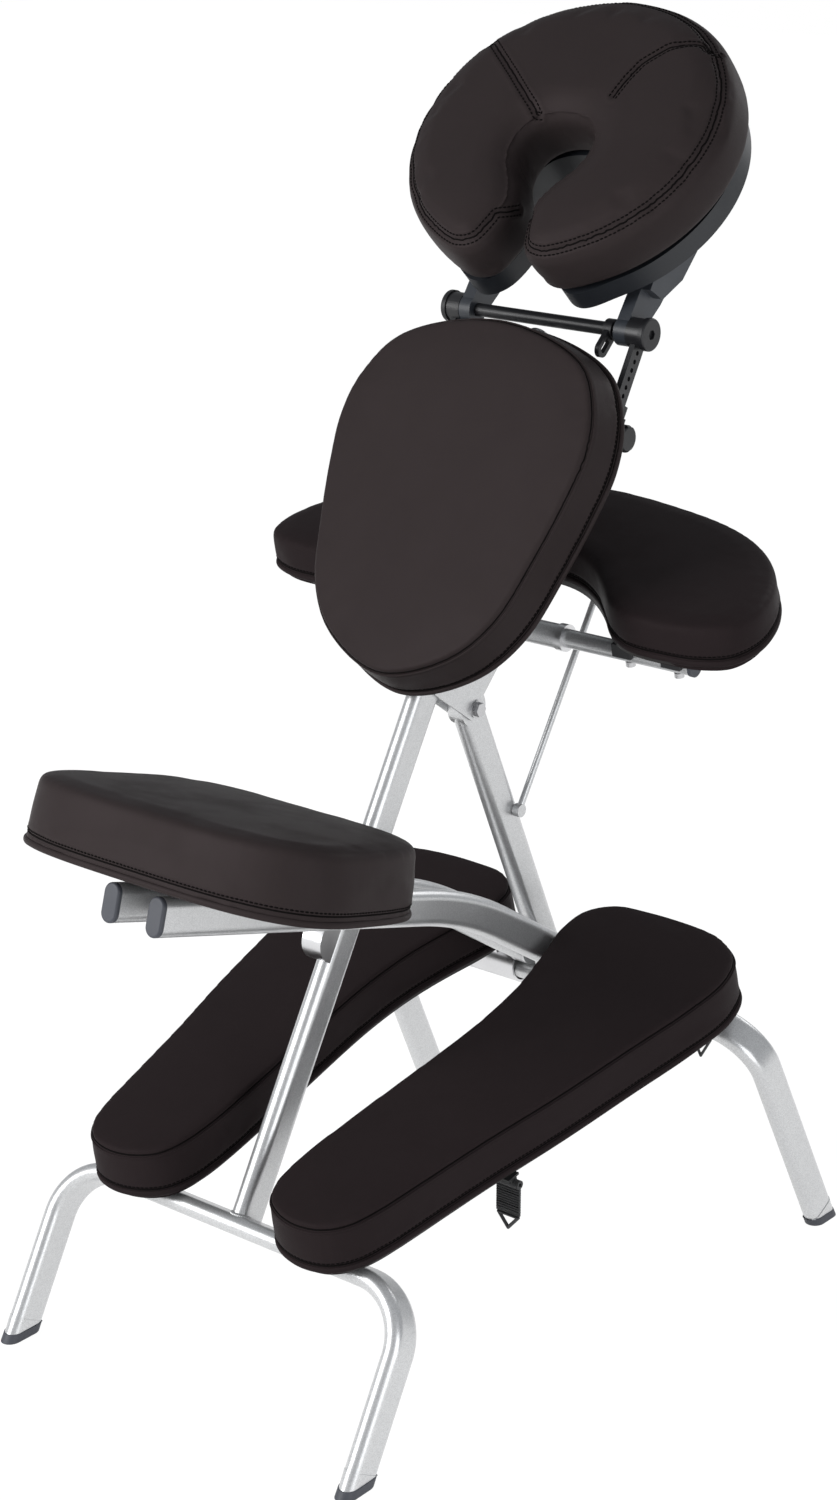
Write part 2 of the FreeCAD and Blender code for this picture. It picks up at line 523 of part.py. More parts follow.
def knee_parts():
    pad = cushion(KNEE_RING, knee_low, KNEE_TOP, 7.0)
    board = slab(shrunk(KNEE_RING, KNEE_BOARD_INSET), board_low, knee_low - REST_GAP)
    ks, kc = cross_in_knee.y, cross_in_knee.z
    barrel = cross_rod(SLEEVE_X0, SLEEVE_X1, ks, kc, SLEEVE_R)
    web = block(SLEEVE_X0 + 24, SLEEVE_X1 - 4, ks - 16, ks + 16, kc, board_low)
    foot = block(SLEEVE_X0 + 24, SLEEVE_X1 - 4, ks - 34, ks + 22, board_low - 4, board_low)
    bracket = barrel.multiFuse([web, foot]).cut(cross_rod(0, 200, ks, kc, TUBE_D / 2 + SLIDE_GAP))
    return put(pad, knee_plane), put(board, knee_plane), put(bracket, knee_plane)


def knee_bumper():
    """Rubber buffer under the board, resting on the rear cross tube."""
    rest = V(BUMPER_X, math.cos(math.radians(REAR_TILT)) * rear_height, REAR_CROSS_Z)
    at = knee_plane.inverse().multVec(rest)
    buffer = rod(V(BUMPER_X, at.y, at.z), V(BUMPER_X, at.y, board_low), BUMPER_R)
    return put(buffer, knee_plane).cut(rear_saddle)


BUMPER_X, BUMPER_R = 112.0, 11.0
rear_saddle = put(u_tube(REAR_FOOT_X, REAR_FOOT_X, rear_height, SLIDE_GAP, TUBE_LIFT), rear_plane)
knee_pad, knee_board, knee_bracket = knee_parts()
buffer = knee_bumper()
for side in ("right", "left"):
    flip = (lambda s: s) if side == "right" else mirrored
    pieces["knee_cushion_" + side] = flip(knee_pad)
    pieces["knee_board_" + side] = flip(knee_board)
    pieces["knee_bracket_" + side] = flip(knee_bracket)
    pieces["knee_buffer_" + side] = flip(buffer)

# storage strap and its wire keeper under the right knee rest
STRAP_X, STRAP_Y = 202.0, 296.0
STRAP_W, STRAP_T, STRAP_DROP = 28.0, 2.4, 34.0
strap_pin_c = board_low - 8.0
PIN_WIRE_R = 2.0
clip = block(STRAP_X - 22, STRAP_X + 22, STRAP_Y - 8, STRAP_Y + 8, board_low - 2.5, board_low)
for x in (STRAP_X - 22, STRAP_X + 19):
    clip = clip.fuse(block(x, x + 3, STRAP_Y - 4, STRAP_Y + 4, strap_pin_c - 4, board_low))
clip = clip.fuse(cross_rod(STRAP_X - 22, STRAP_X + 22, STRAP_Y, strap_pin_c, PIN_WIRE_R))
pieces["strap_clip"] = put(clip, knee_plane)
strap_pin = knee_plane.multVec(V(0, STRAP_Y, strap_pin_c))
hang_y, hang_z = strap_pin.y, strap_pin.z
LOOP_R = PIN_WIRE_R + PIN_GAP
strap = block(STRAP_X - STRAP_W / 2, STRAP_X + STRAP_W / 2, hang_y - STRAP_T / 2, hang_y + STRAP_T / 2,
              hang_z - STRAP_DROP, hang_z)
strap = strap.fuse(cross_rod(STRAP_X - STRAP_W / 2, STRAP_X + STRAP_W / 2, hang_y, hang_z, LOOP_R + STRAP_T))
pieces["strap_webbing"] = strap.cut(cross_rod(STRAP_X - 30, STRAP_X + 30, hang_y, hang_z, LOOP_R))


def wire_triangle(y, top_z, x, width, height, wire_r):
    corners = [V(x - width / 2, y, top_z), V(x + width / 2, y, top_z), V(x, y, top_z - height)]
    sides = [rod(corners[k], corners[(k + 1) % 3], wire_r) for k in range(3)]
    joints = [Part.makeSphere(wire_r, c) for c in corners]
    return sides[0].multiFuse(sides[1:] + joints)


pieces["strap_ring"] = wire_triangle(hang_y, hang_z - STRAP_DROP - 1.9, STRAP_X, STRAP_W - 4, 14, 1.8)
KEEPER_X, KEEPER_S = 240.0, 575.0
keeper_at = knee_plane.multVec(V(0, KEEPER_S, board_low))
pieces["strap_keeper"] = wire_triangle(keeper_at.y, keeper_at.z - 1.6, KEEPER_X, 22, 20, 1.5)

# ---------------------------------------------------------------- face cradle
# yoke on the post with a socket at each end for the height bars
SOCKET_HALF_X = 6.0
SOCKET_A0, SOCKET_A1 = YOKE_A - 15, YOKE_A + 22
SOCKET_B0, SOCKET_B1 = BAR_B - BAR_W / 2 - 4, BAR_B + BAR_W / 2 + 4
YOKE_BAR_A0, YOKE_BAR_A1 = YOKE_A + 20, YOKE_A + 38
YOKE_B0, YOKE_B1 = -TUBE_D / 2 - 10, -TUBE_D / 2
yoke = block(-CRADLE_X + SOCKET_HALF_X, CRADLE_X - SOCKET_HALF_X, YOKE_BAR_A0, YOKE_BAR_A1, YOKE_B0, YOKE_B1)
for side in (1, -1):
    x = side * CRADLE_X
    socket = block(x - SOCKET_HALF_X, x + SOCKET_HALF_X, SOCKET_A0, SOCKET_A1, SOCKET_B0, SOCKET_B1)
    inner = x - side * (SOCKET_HALF_X + 7)
    web = block(min(inner, x), max(inner, x), YOKE_BAR_A0 - 12, YOKE_BAR_A1, YOKE_B0, SOCKET_B1)
    web = web.common(block(-CRADLE_X + SOCKET_HALF_X, CRADLE_X - SOCKET_HALF_X, 0, 1000, -100, 100))
    yoke = yoke.multiFuse([socket, web])
bar_window = BAR_T / 2 + SLIDE_GAP
for side in (1, -1):
    x = side * CRADLE_X
    yoke = yoke.cut(block(x - bar_window, x + bar_window, SOCKET_A0 - 1, YOKE_BAR_A1 + 1,
                          BAR_B - BAR_W / 2 - SLIDE_GAP, BAR_B + BAR_W / 2 + SLIDE_GAP))
yoke = yoke.cut(cross_rod(CRADLE_X, CRADLE_X + 20, YOKE_A, BAR_B, KNOB_STEM_R + PIN_GAP))
pieces["cradle_yoke"] = put(yoke, post)
yoke_bolts = [rod(V(x, YOKE_BAR_A0 + 9, YOKE_B0 - 4), V(x, YOKE_BAR_A0 + 9, YOKE_B0), 5.0) for x in (-5.5, 5.5)]
pieces["yoke_bolts"] = put(group(*yoke_bolts), post)
height_knob = knob(V(CRADLE_X + SOCKET_HALF_X + 4, YOKE_A, BAR_B), V(1, 0, 0), 13.5, 16.0, KNOB_STEM_R, 6.7)
pieces["height_knob"] = put(height_knob, post)

# height bars with their hubs and the crossbar between them
HUB_X0, HUB_X1 = CRADLE_X - 8, CRADLE_X + 8
BAR_A0 = SOCKET_A0 - 44


def height_bar(side):
    x = side * CRADLE_X
    bar = block(x - BAR_T / 2, x + BAR_T / 2, BAR_A0, CROSSBAR_A, BAR_B - BAR_W / 2, BAR_B + BAR_W / 2)
    hub = cross_rod(x - 8, x + 8, CROSSBAR_A, 0, HUB_R)
    bar = bar.fuse(hub).cut(cross_rod(x - 20, x + 20, CROSSBAR_A, 0, CROSSBAR_R + FIT_GAP))
    for k in range(HOLES):
        a = CROSSBAR_A - 19.6 - k * HOLE_PITCH
        bar = bar.cut(cross_rod(x - 10, x + 10, a, BAR_B, HOLE_R))
    return put(bar, post)


pieces["height_bar_right"] = height_bar(1)
pieces["height_bar_left"] = height_bar(-1)
pieces["cradle_crossbar"] = put(cross_rod(-HUB_X1 - SLIDE_GAP, HUB_X1 + SLIDE_GAP, CROSSBAR_A, 0, CROSSBAR_R), post)
end_disc = cross_rod(HUB_X1 + SLIDE_GAP, HUB_X1 + SLIDE_GAP + 6, CROSSBAR_A, 0, HUB_R + 1.5)
disc_rim = [e for e in end_disc.Edges if e.BoundBox.XMin > HUB_X1 + 6.2]
end_disc = end_disc.makeFillet(2.0, disc_rim)
recess = hex_prism(HUB_X1 + 3.3, HUB_X1 + 7, CROSSBAR_A, 0, 9.0)
end_disc = put(end_disc.cut(recess), post)
pieces["tilt_discs"] = group(end_disc, mirrored(end_disc))

# cam lever: ring on the crossbar with a slotted finger loop
LEVER_X = 79.0
LEVER_T = 5.0
LEVER_REACH = 25.0
LEVER_LEAN = 17.0         # towards the sitter, from straight down the post
lever = cross_rod(LEVER_X - LEVER_T, LEVER_X + LEVER_T, CROSSBAR_A, 0, 10.5)
loop_a = CROSSBAR_A - LEVER_REACH
loop = block(LEVER_X - LEVER_T / 2, LEVER_X + LEVER_T / 2, loop_a, CROSSBAR_A, -8, 8)
loop = loop.fuse(cross_rod(LEVER_X - LEVER_T / 2, LEVER_X + LEVER_T / 2, loop_a, 0, 8.0))
slot = block(LEVER_X - 9, LEVER_X + 9, loop_a, CROSSBAR_A - 14, -3.4, 3.4)
slot = slot.fuse(cross_rod(LEVER_X - 9, LEVER_X + 9, loop_a, 0, 3.4))
lever = lever.fuse(loop).cut(slot).cut(cross_rod(LEVER_X - 9, LEVER_X + 9, CROSSBAR_A, 0, CROSSBAR_R + PIN_GAP))
lever.rotate(V(0, CROSSBAR_A, 0), AXIS_X, -LEVER_LEAN)
pieces["cam_lever"] = put(lever, post)

# tilting head: two swept arms, the padded platform and the face cushion
crossbar_in_face = face_plane.inverse().multVec(crossbar)
CS, CC = crossbar_in_face.y, crossbar_in_face.z
PLATFORM_TOP = FACE_TOP - FACE_T - REST_GAP
PLATFORM_T = 24.0
ARM_X1 = HUB_X0 - SLIDE_GAP
ARM_X0 = ARM_X1 - 14.0
PANEL_X0, PANEL_T = 97.0, 18.0
platform_low = PLATFORM_TOP - PLATFORM_T
panel_low = CC - 19.0
neck = plate_yz([(CS - 4, CC - 12), (CS + 46, panel_low), (CS + 64, panel_low), (CS + 64, CC + 24), (CS + 4, CC + 14)],
                ARM_X0, ARM_X1).fuse(cross_rod(ARM_X0, ARM_X1, CS, CC, HUB_R - 0.5))
neck = neck.cut(cross_rod(ARM_X0 - 1, ARM_X1 + 1, CS, CC, CROSSBAR_R + PIN_GAP))
panel = plate_yz([(CS + 44, CC - 4), (CS + 78, panel_low + 1), (CS + 216, panel_low + 2),
                  (CS + 230, panel_low + 16), (CS + 230, platform_low), (CS + 96, platform_low),
                  (CS + 38, CC + 20)],
                 PANEL_X0, PANEL_X0 + PANEL_T)
head_arm = put(neck.fuse(panel), face_plane)
pieces["head_arm_right"] = head_arm
pieces["head_arm_left"] = mirrored(head_arm)

HOLE_EDGE = [(58, -146), (37, -135), (26, -114), (23, -90), (33, -68), (49, -46), (54, -24), (46, 1), (25, 13)]
HOLE_TOP = 16.0
LOBE_TURN = -58          # where the outer curve ends at a lobe, in degrees from +X


def horseshoe(half_w, half_h, drop=0.0):
    """Outline of one smooth curve: the outer oval, round the lobes' ends and round the hole."""
    right = [(half_w * math.cos(math.radians(t)), half_h * math.sin(math.radians(t)))
             for t in range(72, LOBE_TURN - 1, -13)] + HOLE_EDGE
    ring = [(0, half_h)] + right + [(0, HOLE_TOP)] + [(-x, s) for x, s in reversed(right)]
    return [(x, s + FACE_MID_S - drop) for x, s in ring]


def hole_line(grow):
    """The hole's edge from one lobe over the top to the other, moved out from its middle by grow."""
    right = HOLE_EDGE[3:]
    line = right + [(0, HOLE_TOP)] + [(-x, s) for x, s in reversed(right)]
    out = []
    for x, s in line:
        far = math.hypot(x, s + SKIRT_MID)
        out.append(V(x * (1 + grow / far), (s + SKIRT_MID) * (1 + grow / far) - SKIRT_MID
                     + FACE_MID_S - PLATFORM_DROP, 0))
    return out


# the tray has a skirt that hangs down round the hole
SKIRT_MID, SKIRT_IN, SKIRT_OUT, SKIRT_DEPTH = 40.0, 1.0, 5.0, 22.0
curves = []
for grow in (SKIRT_IN, SKIRT_OUT):
    line = hole_line(grow)
    curve = Part.BSplineCurve()
    curve.interpolate(line)
    curves.append((curve.toShape(), line))
inner_edge, inner_line = curves[0]
outer_edge, outer_line = curves[1]
ends = [Part.makeLine(inner_line[0], outer_line[0]), Part.makeLine(inner_line[-1], outer_line[-1])]
skirt_wire = Part.Wire(Part.__sortEdges__([inner_edge, ends[1], outer_edge, ends[0]]))
skirt = Part.Face(skirt_wire).extrude(V(0, 0, SKIRT_DEPTH))
skirt.translate(V(0, 0, platform_low - SKIRT_DEPTH + 1.0))
tray = horseshoe(FACE_W / 2 - PLATFORM_INSET, FACE_H / 2 - PLATFORM_INSET, PLATFORM_DROP)
tray = slab(tray, platform_low, PLATFORM_TOP)
pieces["face_platform"] = put(tray.fuse(skirt), face_plane)
pieces["face_cushion"] = put(cushion(horseshoe(FACE_W / 2, FACE_H / 2), FACE_TOP - FACE_T, FACE_TOP,
                                     FACE_ROUND), face_plane)

# ---------------------------------------------------------------- origin at the bottom centre of the box
corners = [p for shape in pieces.values() for p in shape.tessellate(0.1)[0]]
mid_y = (min(p.y for p in corners) + max(p.y for p in corners)) / 2
low_z = min(p.z for p in corners)
shift = V(0, -mid_y, -low_z)
os.makedirs("parts", exist_ok=True)
for name, shape in sorted(pieces.items()):
    shape.translated(shift).exportStep("parts/" + name + ".step")
    print(name, len(shape.Solids), round(shape.Volume / 1000, 1), shape.isValid())
print("moved by", round(shift.y, 3), round(shift.z, 3))
print("box", [round(max(getattr(p, c) for p in corners) - min(getattr(p, c) for p in corners), 1) for c in "xyz"])
for label, point in (("hinge", hinge), ("front_cross", front_cross), ("rail_pivot", rail_pivot),
                     ("crossbar", crossbar), ("cross_pin", cross_pin), ("strap_pin", strap_pin),
                     ("rod_top", rod_top), ("arm_tube", V(0, ARM_TUBE_Y, ARM_TUBE_Z))):
    print(label, [round(c, 2) for c in (point + shift)])
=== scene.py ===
# %% [markdown]
# # A folding kneeling massage chair
# The chair is a silver frame of flat-oval tube that carries six black-brown pads.
# The metal parts arrive as a fixed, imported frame, already in place and in metres,
# so this lesson only dresses them: it paints every part, and it makes the soft
# pads, their seams and stitches, the weld beads and the strap as new pieces.

# %% Load the fixed frame
import json
import math
import bpy
import bmesh
import numpy as np
from mathutils import Matrix, Vector
from mathutils.bvhtree import BVHTree
from mathutils.kdtree import KDTree

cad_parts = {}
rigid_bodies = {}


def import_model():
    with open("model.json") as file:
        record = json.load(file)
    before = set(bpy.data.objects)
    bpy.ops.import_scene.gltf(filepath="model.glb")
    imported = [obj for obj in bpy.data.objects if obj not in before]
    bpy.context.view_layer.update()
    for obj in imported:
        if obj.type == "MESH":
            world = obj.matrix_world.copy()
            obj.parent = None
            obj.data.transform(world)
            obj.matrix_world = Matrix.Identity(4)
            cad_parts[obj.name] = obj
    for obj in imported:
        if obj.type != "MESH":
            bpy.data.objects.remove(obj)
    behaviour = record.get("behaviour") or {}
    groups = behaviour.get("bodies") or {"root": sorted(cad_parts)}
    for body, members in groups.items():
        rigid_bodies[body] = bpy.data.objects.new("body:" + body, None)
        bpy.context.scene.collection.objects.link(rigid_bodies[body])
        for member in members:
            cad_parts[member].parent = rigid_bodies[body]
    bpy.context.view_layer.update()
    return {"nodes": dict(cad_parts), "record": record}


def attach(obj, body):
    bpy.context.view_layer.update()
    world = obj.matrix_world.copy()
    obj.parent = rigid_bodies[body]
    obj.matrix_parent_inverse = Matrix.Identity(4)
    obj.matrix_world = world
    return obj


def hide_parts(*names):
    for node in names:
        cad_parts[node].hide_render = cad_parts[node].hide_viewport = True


for leftover in list(bpy.data.objects):
    bpy.data.objects.remove(leftover)
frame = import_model()

# %% [markdown]
# ## The planes that the pads lie in
# Each pad is flat, but none is level. It is far easier to draw a pad on its own
# plane, across and along, and then to turn it into place once. A turned plane is
# a 4 x 4 matrix. Its foot is measured from the knee rests' hinge, which the frame
# gives, so the pads stay right if the whole chair is moved.

# %% Work out one matrix for each plane
joints = {j["name"]: j for j in frame["record"]["behaviour"]["joints"]}
KNEE_HINGE = Vector(joints["knee_right_swing"]["pos_m"])
HEEL_TO_HINGE = 0.597              # from the rear feet forward to the hinge
HEEL_Y = KNEE_HINGE.y - HEEL_TO_HINGE
MM = 0.001
POST_FOOT = (105.9, 175.0)         # forward of the heel and up, mm, as are the next four
RAIL_REAR, RAIL_FRONT = (-37.0, 532.0), (403.0, 405.9)
STRUT_FOOT, FOLD_BOLT = (597.0, 262.0), (441.46, 604.0)


def plane(tilt, foot_y=0.0, foot_z=0.0):
    """The matrix from (across, along, up off the pad's plane) to the chair's own place."""
    c, s = math.cos(math.radians(tilt)), math.sin(math.radians(tilt))
    return Matrix(((1, 0, 0, 0),
                   (0, c, -s, HEEL_Y + foot_y * MM),
                   (0, s, c, foot_z * MM),
                   (0, 0, 0, 1)))


def tilt_between(start, end):
    """The slope in degrees of the line from start to end, each (forward, up)."""
    return math.degrees(math.atan2(end[1] - start[1], end[0] - start[0]))


POST_PLANE = plane(60, *POST_FOOT)
SEAT_PLANE = plane(tilt_between(RAIL_REAR, RAIL_FRONT), *RAIL_REAR)
STRUT_PLANE = plane(tilt_between(STRUT_FOOT, FOLD_BOLT), *STRUT_FOOT)
KNEE_PLANE = plane(12.7)
ARM_PLANE = plane(11.9)
FACE_PLANE = plane(46)
print("the rails slope", round(tilt_between(RAIL_REAR, RAIL_FRONT), 2), "degrees")

# %% [markdown]
# ## Camera
# The chair is seen from behind the sitter's right shoulder and a little above.
# A long lens keeps lines that are parallel on the chair nearly parallel here too.

# %% Place the camera
camera_data = bpy.data.cameras.new("camera")
camera_data.lens = 70.975
camera_data.sensor_width = 36.0
camera = bpy.data.objects.new("camera", camera_data)
bpy.context.scene.collection.objects.link(camera)
VIEW_BACK = Vector((0.60000188, -0.73161397, 0.32363366))
camera.location = (1.76433708, HEEL_Y - 1.78645183, 1.52944771)
camera.rotation_euler = VIEW_BACK.to_track_quat("Z", "Y").to_euler()
bpy.context.scene.camera = camera
MIDDLE = Vector((0, 0, 0.6))
print("the camera stands", round((camera.location - MIDDLE).length, 2), "m away")

# %% [markdown]
# ## Light and floor
# Satin paint and dull vinyl show their shape through broad soft reflections, so
# the light is a pale sky and three large soft lamps: one behind the sitter on the
# left, a weaker one low on the right, and one in front that edges the pads. The
# floor is plain. Where the camera or a shiny part looks at it, most of its colour is
# plain white light, so it reads as paper while it still keeps the chair's shadow.

# %% Two helpers for shader nodes
def node(tree, kind, links=None, **values):
    """A node with its properties and sockets set, and its named inputs linked."""
    made = tree.nodes.new(kind)
    for key, value in values.items():
        if hasattr(made, key):
            setattr(made, key, value)
        else:
            made.inputs[key.replace("_", " ")].default_value = value
    for key, source in (links or {}).items():
        tree.links.new(source, made.inputs[key])
    return made


def white_to_rays(tree, kinds, share, plain, glow, surface):
    """The plain shader, of which a share gives way to the glowing one for two kinds of ray."""
    seen = node(tree, "ShaderNodeLightPath")
    either = node(tree, "ShaderNodeMath", {0: seen.outputs[kinds[0]], 1: seen.outputs[kinds[1]]},
                  operation="MAXIMUM")
    part = node(tree, "ShaderNodeMath", {0: either.outputs[0]}, operation="MULTIPLY")
    part.inputs[1].default_value = share
    pick = node(tree, "ShaderNodeMixShader", {0: part.outputs[0], 1: plain.outputs[0], 2: glow.outputs[0]})
    tree.links.new(pick.outputs[0], surface)


# %% Sky
SKY_LIGHT = 0.38
world = bpy.data.worlds.new("sky")
bpy.context.scene.world = world
world.use_nodes = True
sky = world.node_tree
sky.nodes.clear()
sky_out = node(sky, "ShaderNodeOutputWorld")
white_to_rays(sky, ("Is Camera Ray", "Is Transmission Ray"), 1.0,
              node(sky, "ShaderNodeBackground", Color=(0.93, 0.96, 1.0, 1), Strength=SKY_LIGHT),
              node(sky, "ShaderNodeBackground", Color=(1, 1, 1, 1), Strength=1.0), sky_out.inputs["Surface"])
print("the sky lights the chair at", SKY_LIGHT)


# %% Three soft lamps
def lamp(name, place, target, size, watts, tint=(1, 1, 1)):
    """A square soft lamp at place that faces target."""
    data = bpy.data.lights.new(name, "AREA")
    data.size = size
    data.energy = watts
    data.color = tint
    obj = bpy.data.objects.new(name, data)
    obj.location = place
    obj.rotation_euler = (Vector(place) - Vector(target)).to_track_quat("Z", "Y").to_euler()
    bpy.context.scene.collection.objects.link(obj)


CHEST_LEVEL = (0, 0, 0.8)
lamp("key_lamp", (-1.3, -2.7, 1.6), MIDDLE, 1.7, 70)
lamp("right_lamp", (2.9, -0.9, 0.8), MIDDLE, 1.8, 30, (0.98, 0.99, 1.0))
lamp("back_lamp", (0.3, 2.8, 2.0), CHEST_LEVEL, 1.5, 15)
print("lamps, W:", {light.name: light.energy for light in bpy.data.lights})

# %% Floor
HALF_FLOOR, FLOOR_DROP = 12.0, 0.0005
FLOOR_GLOW, GLOW_SHARE = 1.13, 0.86
floor_data = bpy.data.meshes.new("floor")
floor_data.from_pydata([(x * HALF_FLOOR, y * HALF_FLOOR, 0) for x, y in ((-1, -1), (1, -1), (1, 1), (-1, 1))],
                       [], [(0, 1, 2, 3)])
floor = bpy.data.objects.new("floor", floor_data)
floor.location.z = -FLOOR_DROP
bpy.context.scene.collection.objects.link(floor)
paper = bpy.data.materials.new("floor_paper")
paper.use_nodes = True
matte = paper.node_tree.nodes["Principled BSDF"]
for label, value in {"Base Color": (0.80, 0.80, 0.80, 1), "Roughness": 0.9, "Specular IOR Level": 0.1}.items():
    matte.inputs[label].default_value = value
white_to_rays(paper.node_tree, ("Is Camera Ray", "Is Glossy Ray"), GLOW_SHARE, matte,
              node(paper.node_tree, "ShaderNodeEmission", Strength=FLOOR_GLOW),
              paper.node_tree.nodes["Material Output"].inputs["Surface"])
floor_data.materials.append(paper)
bpy.context.scene.view_settings.view_transform = "Standard"
print("a floor", 2 * HALF_FLOOR, "m wide")

# %% [markdown]
# ## Effects that several finishes share
# Leather grain, the small flecks of powder coat, and the marks of handling are each
# one node group. A group is built once and placed in each material with its own
# values, so a change to the grain changes every pad. The groups give out only
# values that vary over the surface; the shaders stay in the materials.

# %% A short way to build node groups
def new_group(name, inputs, outputs):
    """An empty shader group with float inputs and named outputs."""
    group = bpy.data.node_groups.new(name, "ShaderNodeTree")
    for label, value in inputs:
        socket = group.interface.new_socket(label, in_out="INPUT", socket_type="NodeSocketFloat")
        socket.default_value = value
    for label in outputs:
        group.interface.new_socket(label, in_out="OUTPUT", socket_type="NodeSocketFloat")
    return group, group.nodes.new("NodeGroupInput"), group.nodes.new("NodeGroupOutput")


def spot(tree, scale_socket):
    """The object's own coordinates times a scale socket, for patterns of a real size."""
    where = node(tree, "ShaderNodeTexCoord")
    return node(tree, "ShaderNodeVectorMath", {0: where.outputs["Object"], "Scale": scale_socket},
                operation="SCALE")


# %% The grain group: pebbled cells with fine creases between them
grain, given, result = new_group("pebble_grain", [("Cells per metre", 900.0), ("Crease", 0.6)],
                                 ["Height", "Tone"])
where = spot(grain, given.outputs["Cells per metre"])
warp = node(grain, "ShaderNodeTexNoise", {"Vector": where.outputs[0]}, Scale=0.7, Detail=2.0)
pushed = node(grain, "ShaderNodeVectorMath", {0: warp.outputs["Color"]}, operation="SCALE", Scale=0.7)
moved = node(grain, "ShaderNodeVectorMath", {0: where.outputs[0], 1: pushed.outputs[0]}, operation="ADD")
cells = node(grain, "ShaderNodeTexVoronoi", {"Vector": moved.outputs[0]}, feature="DISTANCE_TO_EDGE", Scale=1.0)
crease = node(grain, "ShaderNodeMapRange", {"Value": cells.outputs["Distance"]},
              interpolation_type="SMOOTHSTEP", From_Max=0.22)
fine = node(grain, "ShaderNodeTexNoise", {"Vector": where.outputs[0]}, Scale=2.6, Detail=3.0)
height = node(grain, "ShaderNodeMix", {"Factor": given.outputs["Crease"], "A": fine.outputs["Fac"],
                                       "B": crease.outputs[0]}, data_type="FLOAT")
grain.links.new(height.outputs[0], result.inputs["Height"])
broad = node(grain, "ShaderNodeTexNoise", {"Vector": where.outputs[0]}, Scale=0.012, Detail=4.0, Roughness=0.6)
grain.links.new(broad.outputs["Fac"], result.inputs["Tone"])

# %% The fleck group: bright metal flakes under a clear coat, over an orange-peel ripple
flecks, given, result = new_group("paint_flecks", [("Flakes per metre", 1500.0), ("Ripple per metre", 260.0)],
                                  ["Flake", "Ripple", "Tone"])
where = spot(flecks, given.outputs["Flakes per metre"])
flake = node(flecks, "ShaderNodeTexVoronoi", {"Vector": where.outputs[0]}, Scale=1.0)
split = node(flecks, "ShaderNodeSeparateColor", {"Color": flake.outputs["Color"]})
flecks.links.new(split.outputs[0], result.inputs["Flake"])
slow = spot(flecks, given.outputs["Ripple per metre"])
ripple = node(flecks, "ShaderNodeTexNoise", {"Vector": slow.outputs[0]}, Scale=1.0, Detail=2.0)
flecks.links.new(ripple.outputs["Fac"], result.inputs["Ripple"])
broad = node(flecks, "ShaderNodeTexNoise", {"Vector": slow.outputs[0]}, Scale=0.05, Detail=3.0)
flecks.links.new(broad.outputs["Fac"], result.inputs["Tone"])

# %% The handling group: faint rubbed patches and short scratches
rubbed, given, result = new_group("handling_marks", [("Patch per metre", 14.0), ("Scratches per metre", 90.0)],
                                  ["Patch", "Scratch"])
where = spot(rubbed, given.outputs["Patch per metre"])
patch = node(rubbed, "ShaderNodeTexNoise", {"Vector": where.outputs[0]}, Scale=1.0, Detail=5.0, Roughness=0.65)
patchy = node(rubbed, "ShaderNodeMapRange", {"Value": patch.outputs["Fac"]},
              interpolation_type="SMOOTHSTEP", From_Min=0.42, From_Max=0.72)
rubbed.links.new(patchy.outputs[0], result.inputs["Patch"])
along = spot(rubbed, given.outputs["Scratches per metre"])
squeezed = node(rubbed, "ShaderNodeVectorMath", {0: along.outputs[0]}, operation="MULTIPLY")
squeezed.inputs[1].default_value = (1.0, 0.09, 1.6)
hair = node(rubbed, "ShaderNodeTexNoise", {"Vector": squeezed.outputs[0]}, Scale=2.2, Detail=6.0, Roughness=0.7)
hairline = node(rubbed, "ShaderNodeMapRange", {"Value": hair.outputs["Fac"]}, From_Min=0.62, From_Max=0.70)
rubbed.links.new(hairline.outputs[0], result.inputs["Scratch"])
print("shared effects:", [g.name for g in bpy.data.node_groups])

# %% [markdown]
# ## Finishes
# A finish is one Principled shader whose colour, roughness and bump come from the
# shared groups. Values that are the same all over the surface stay on the shader.

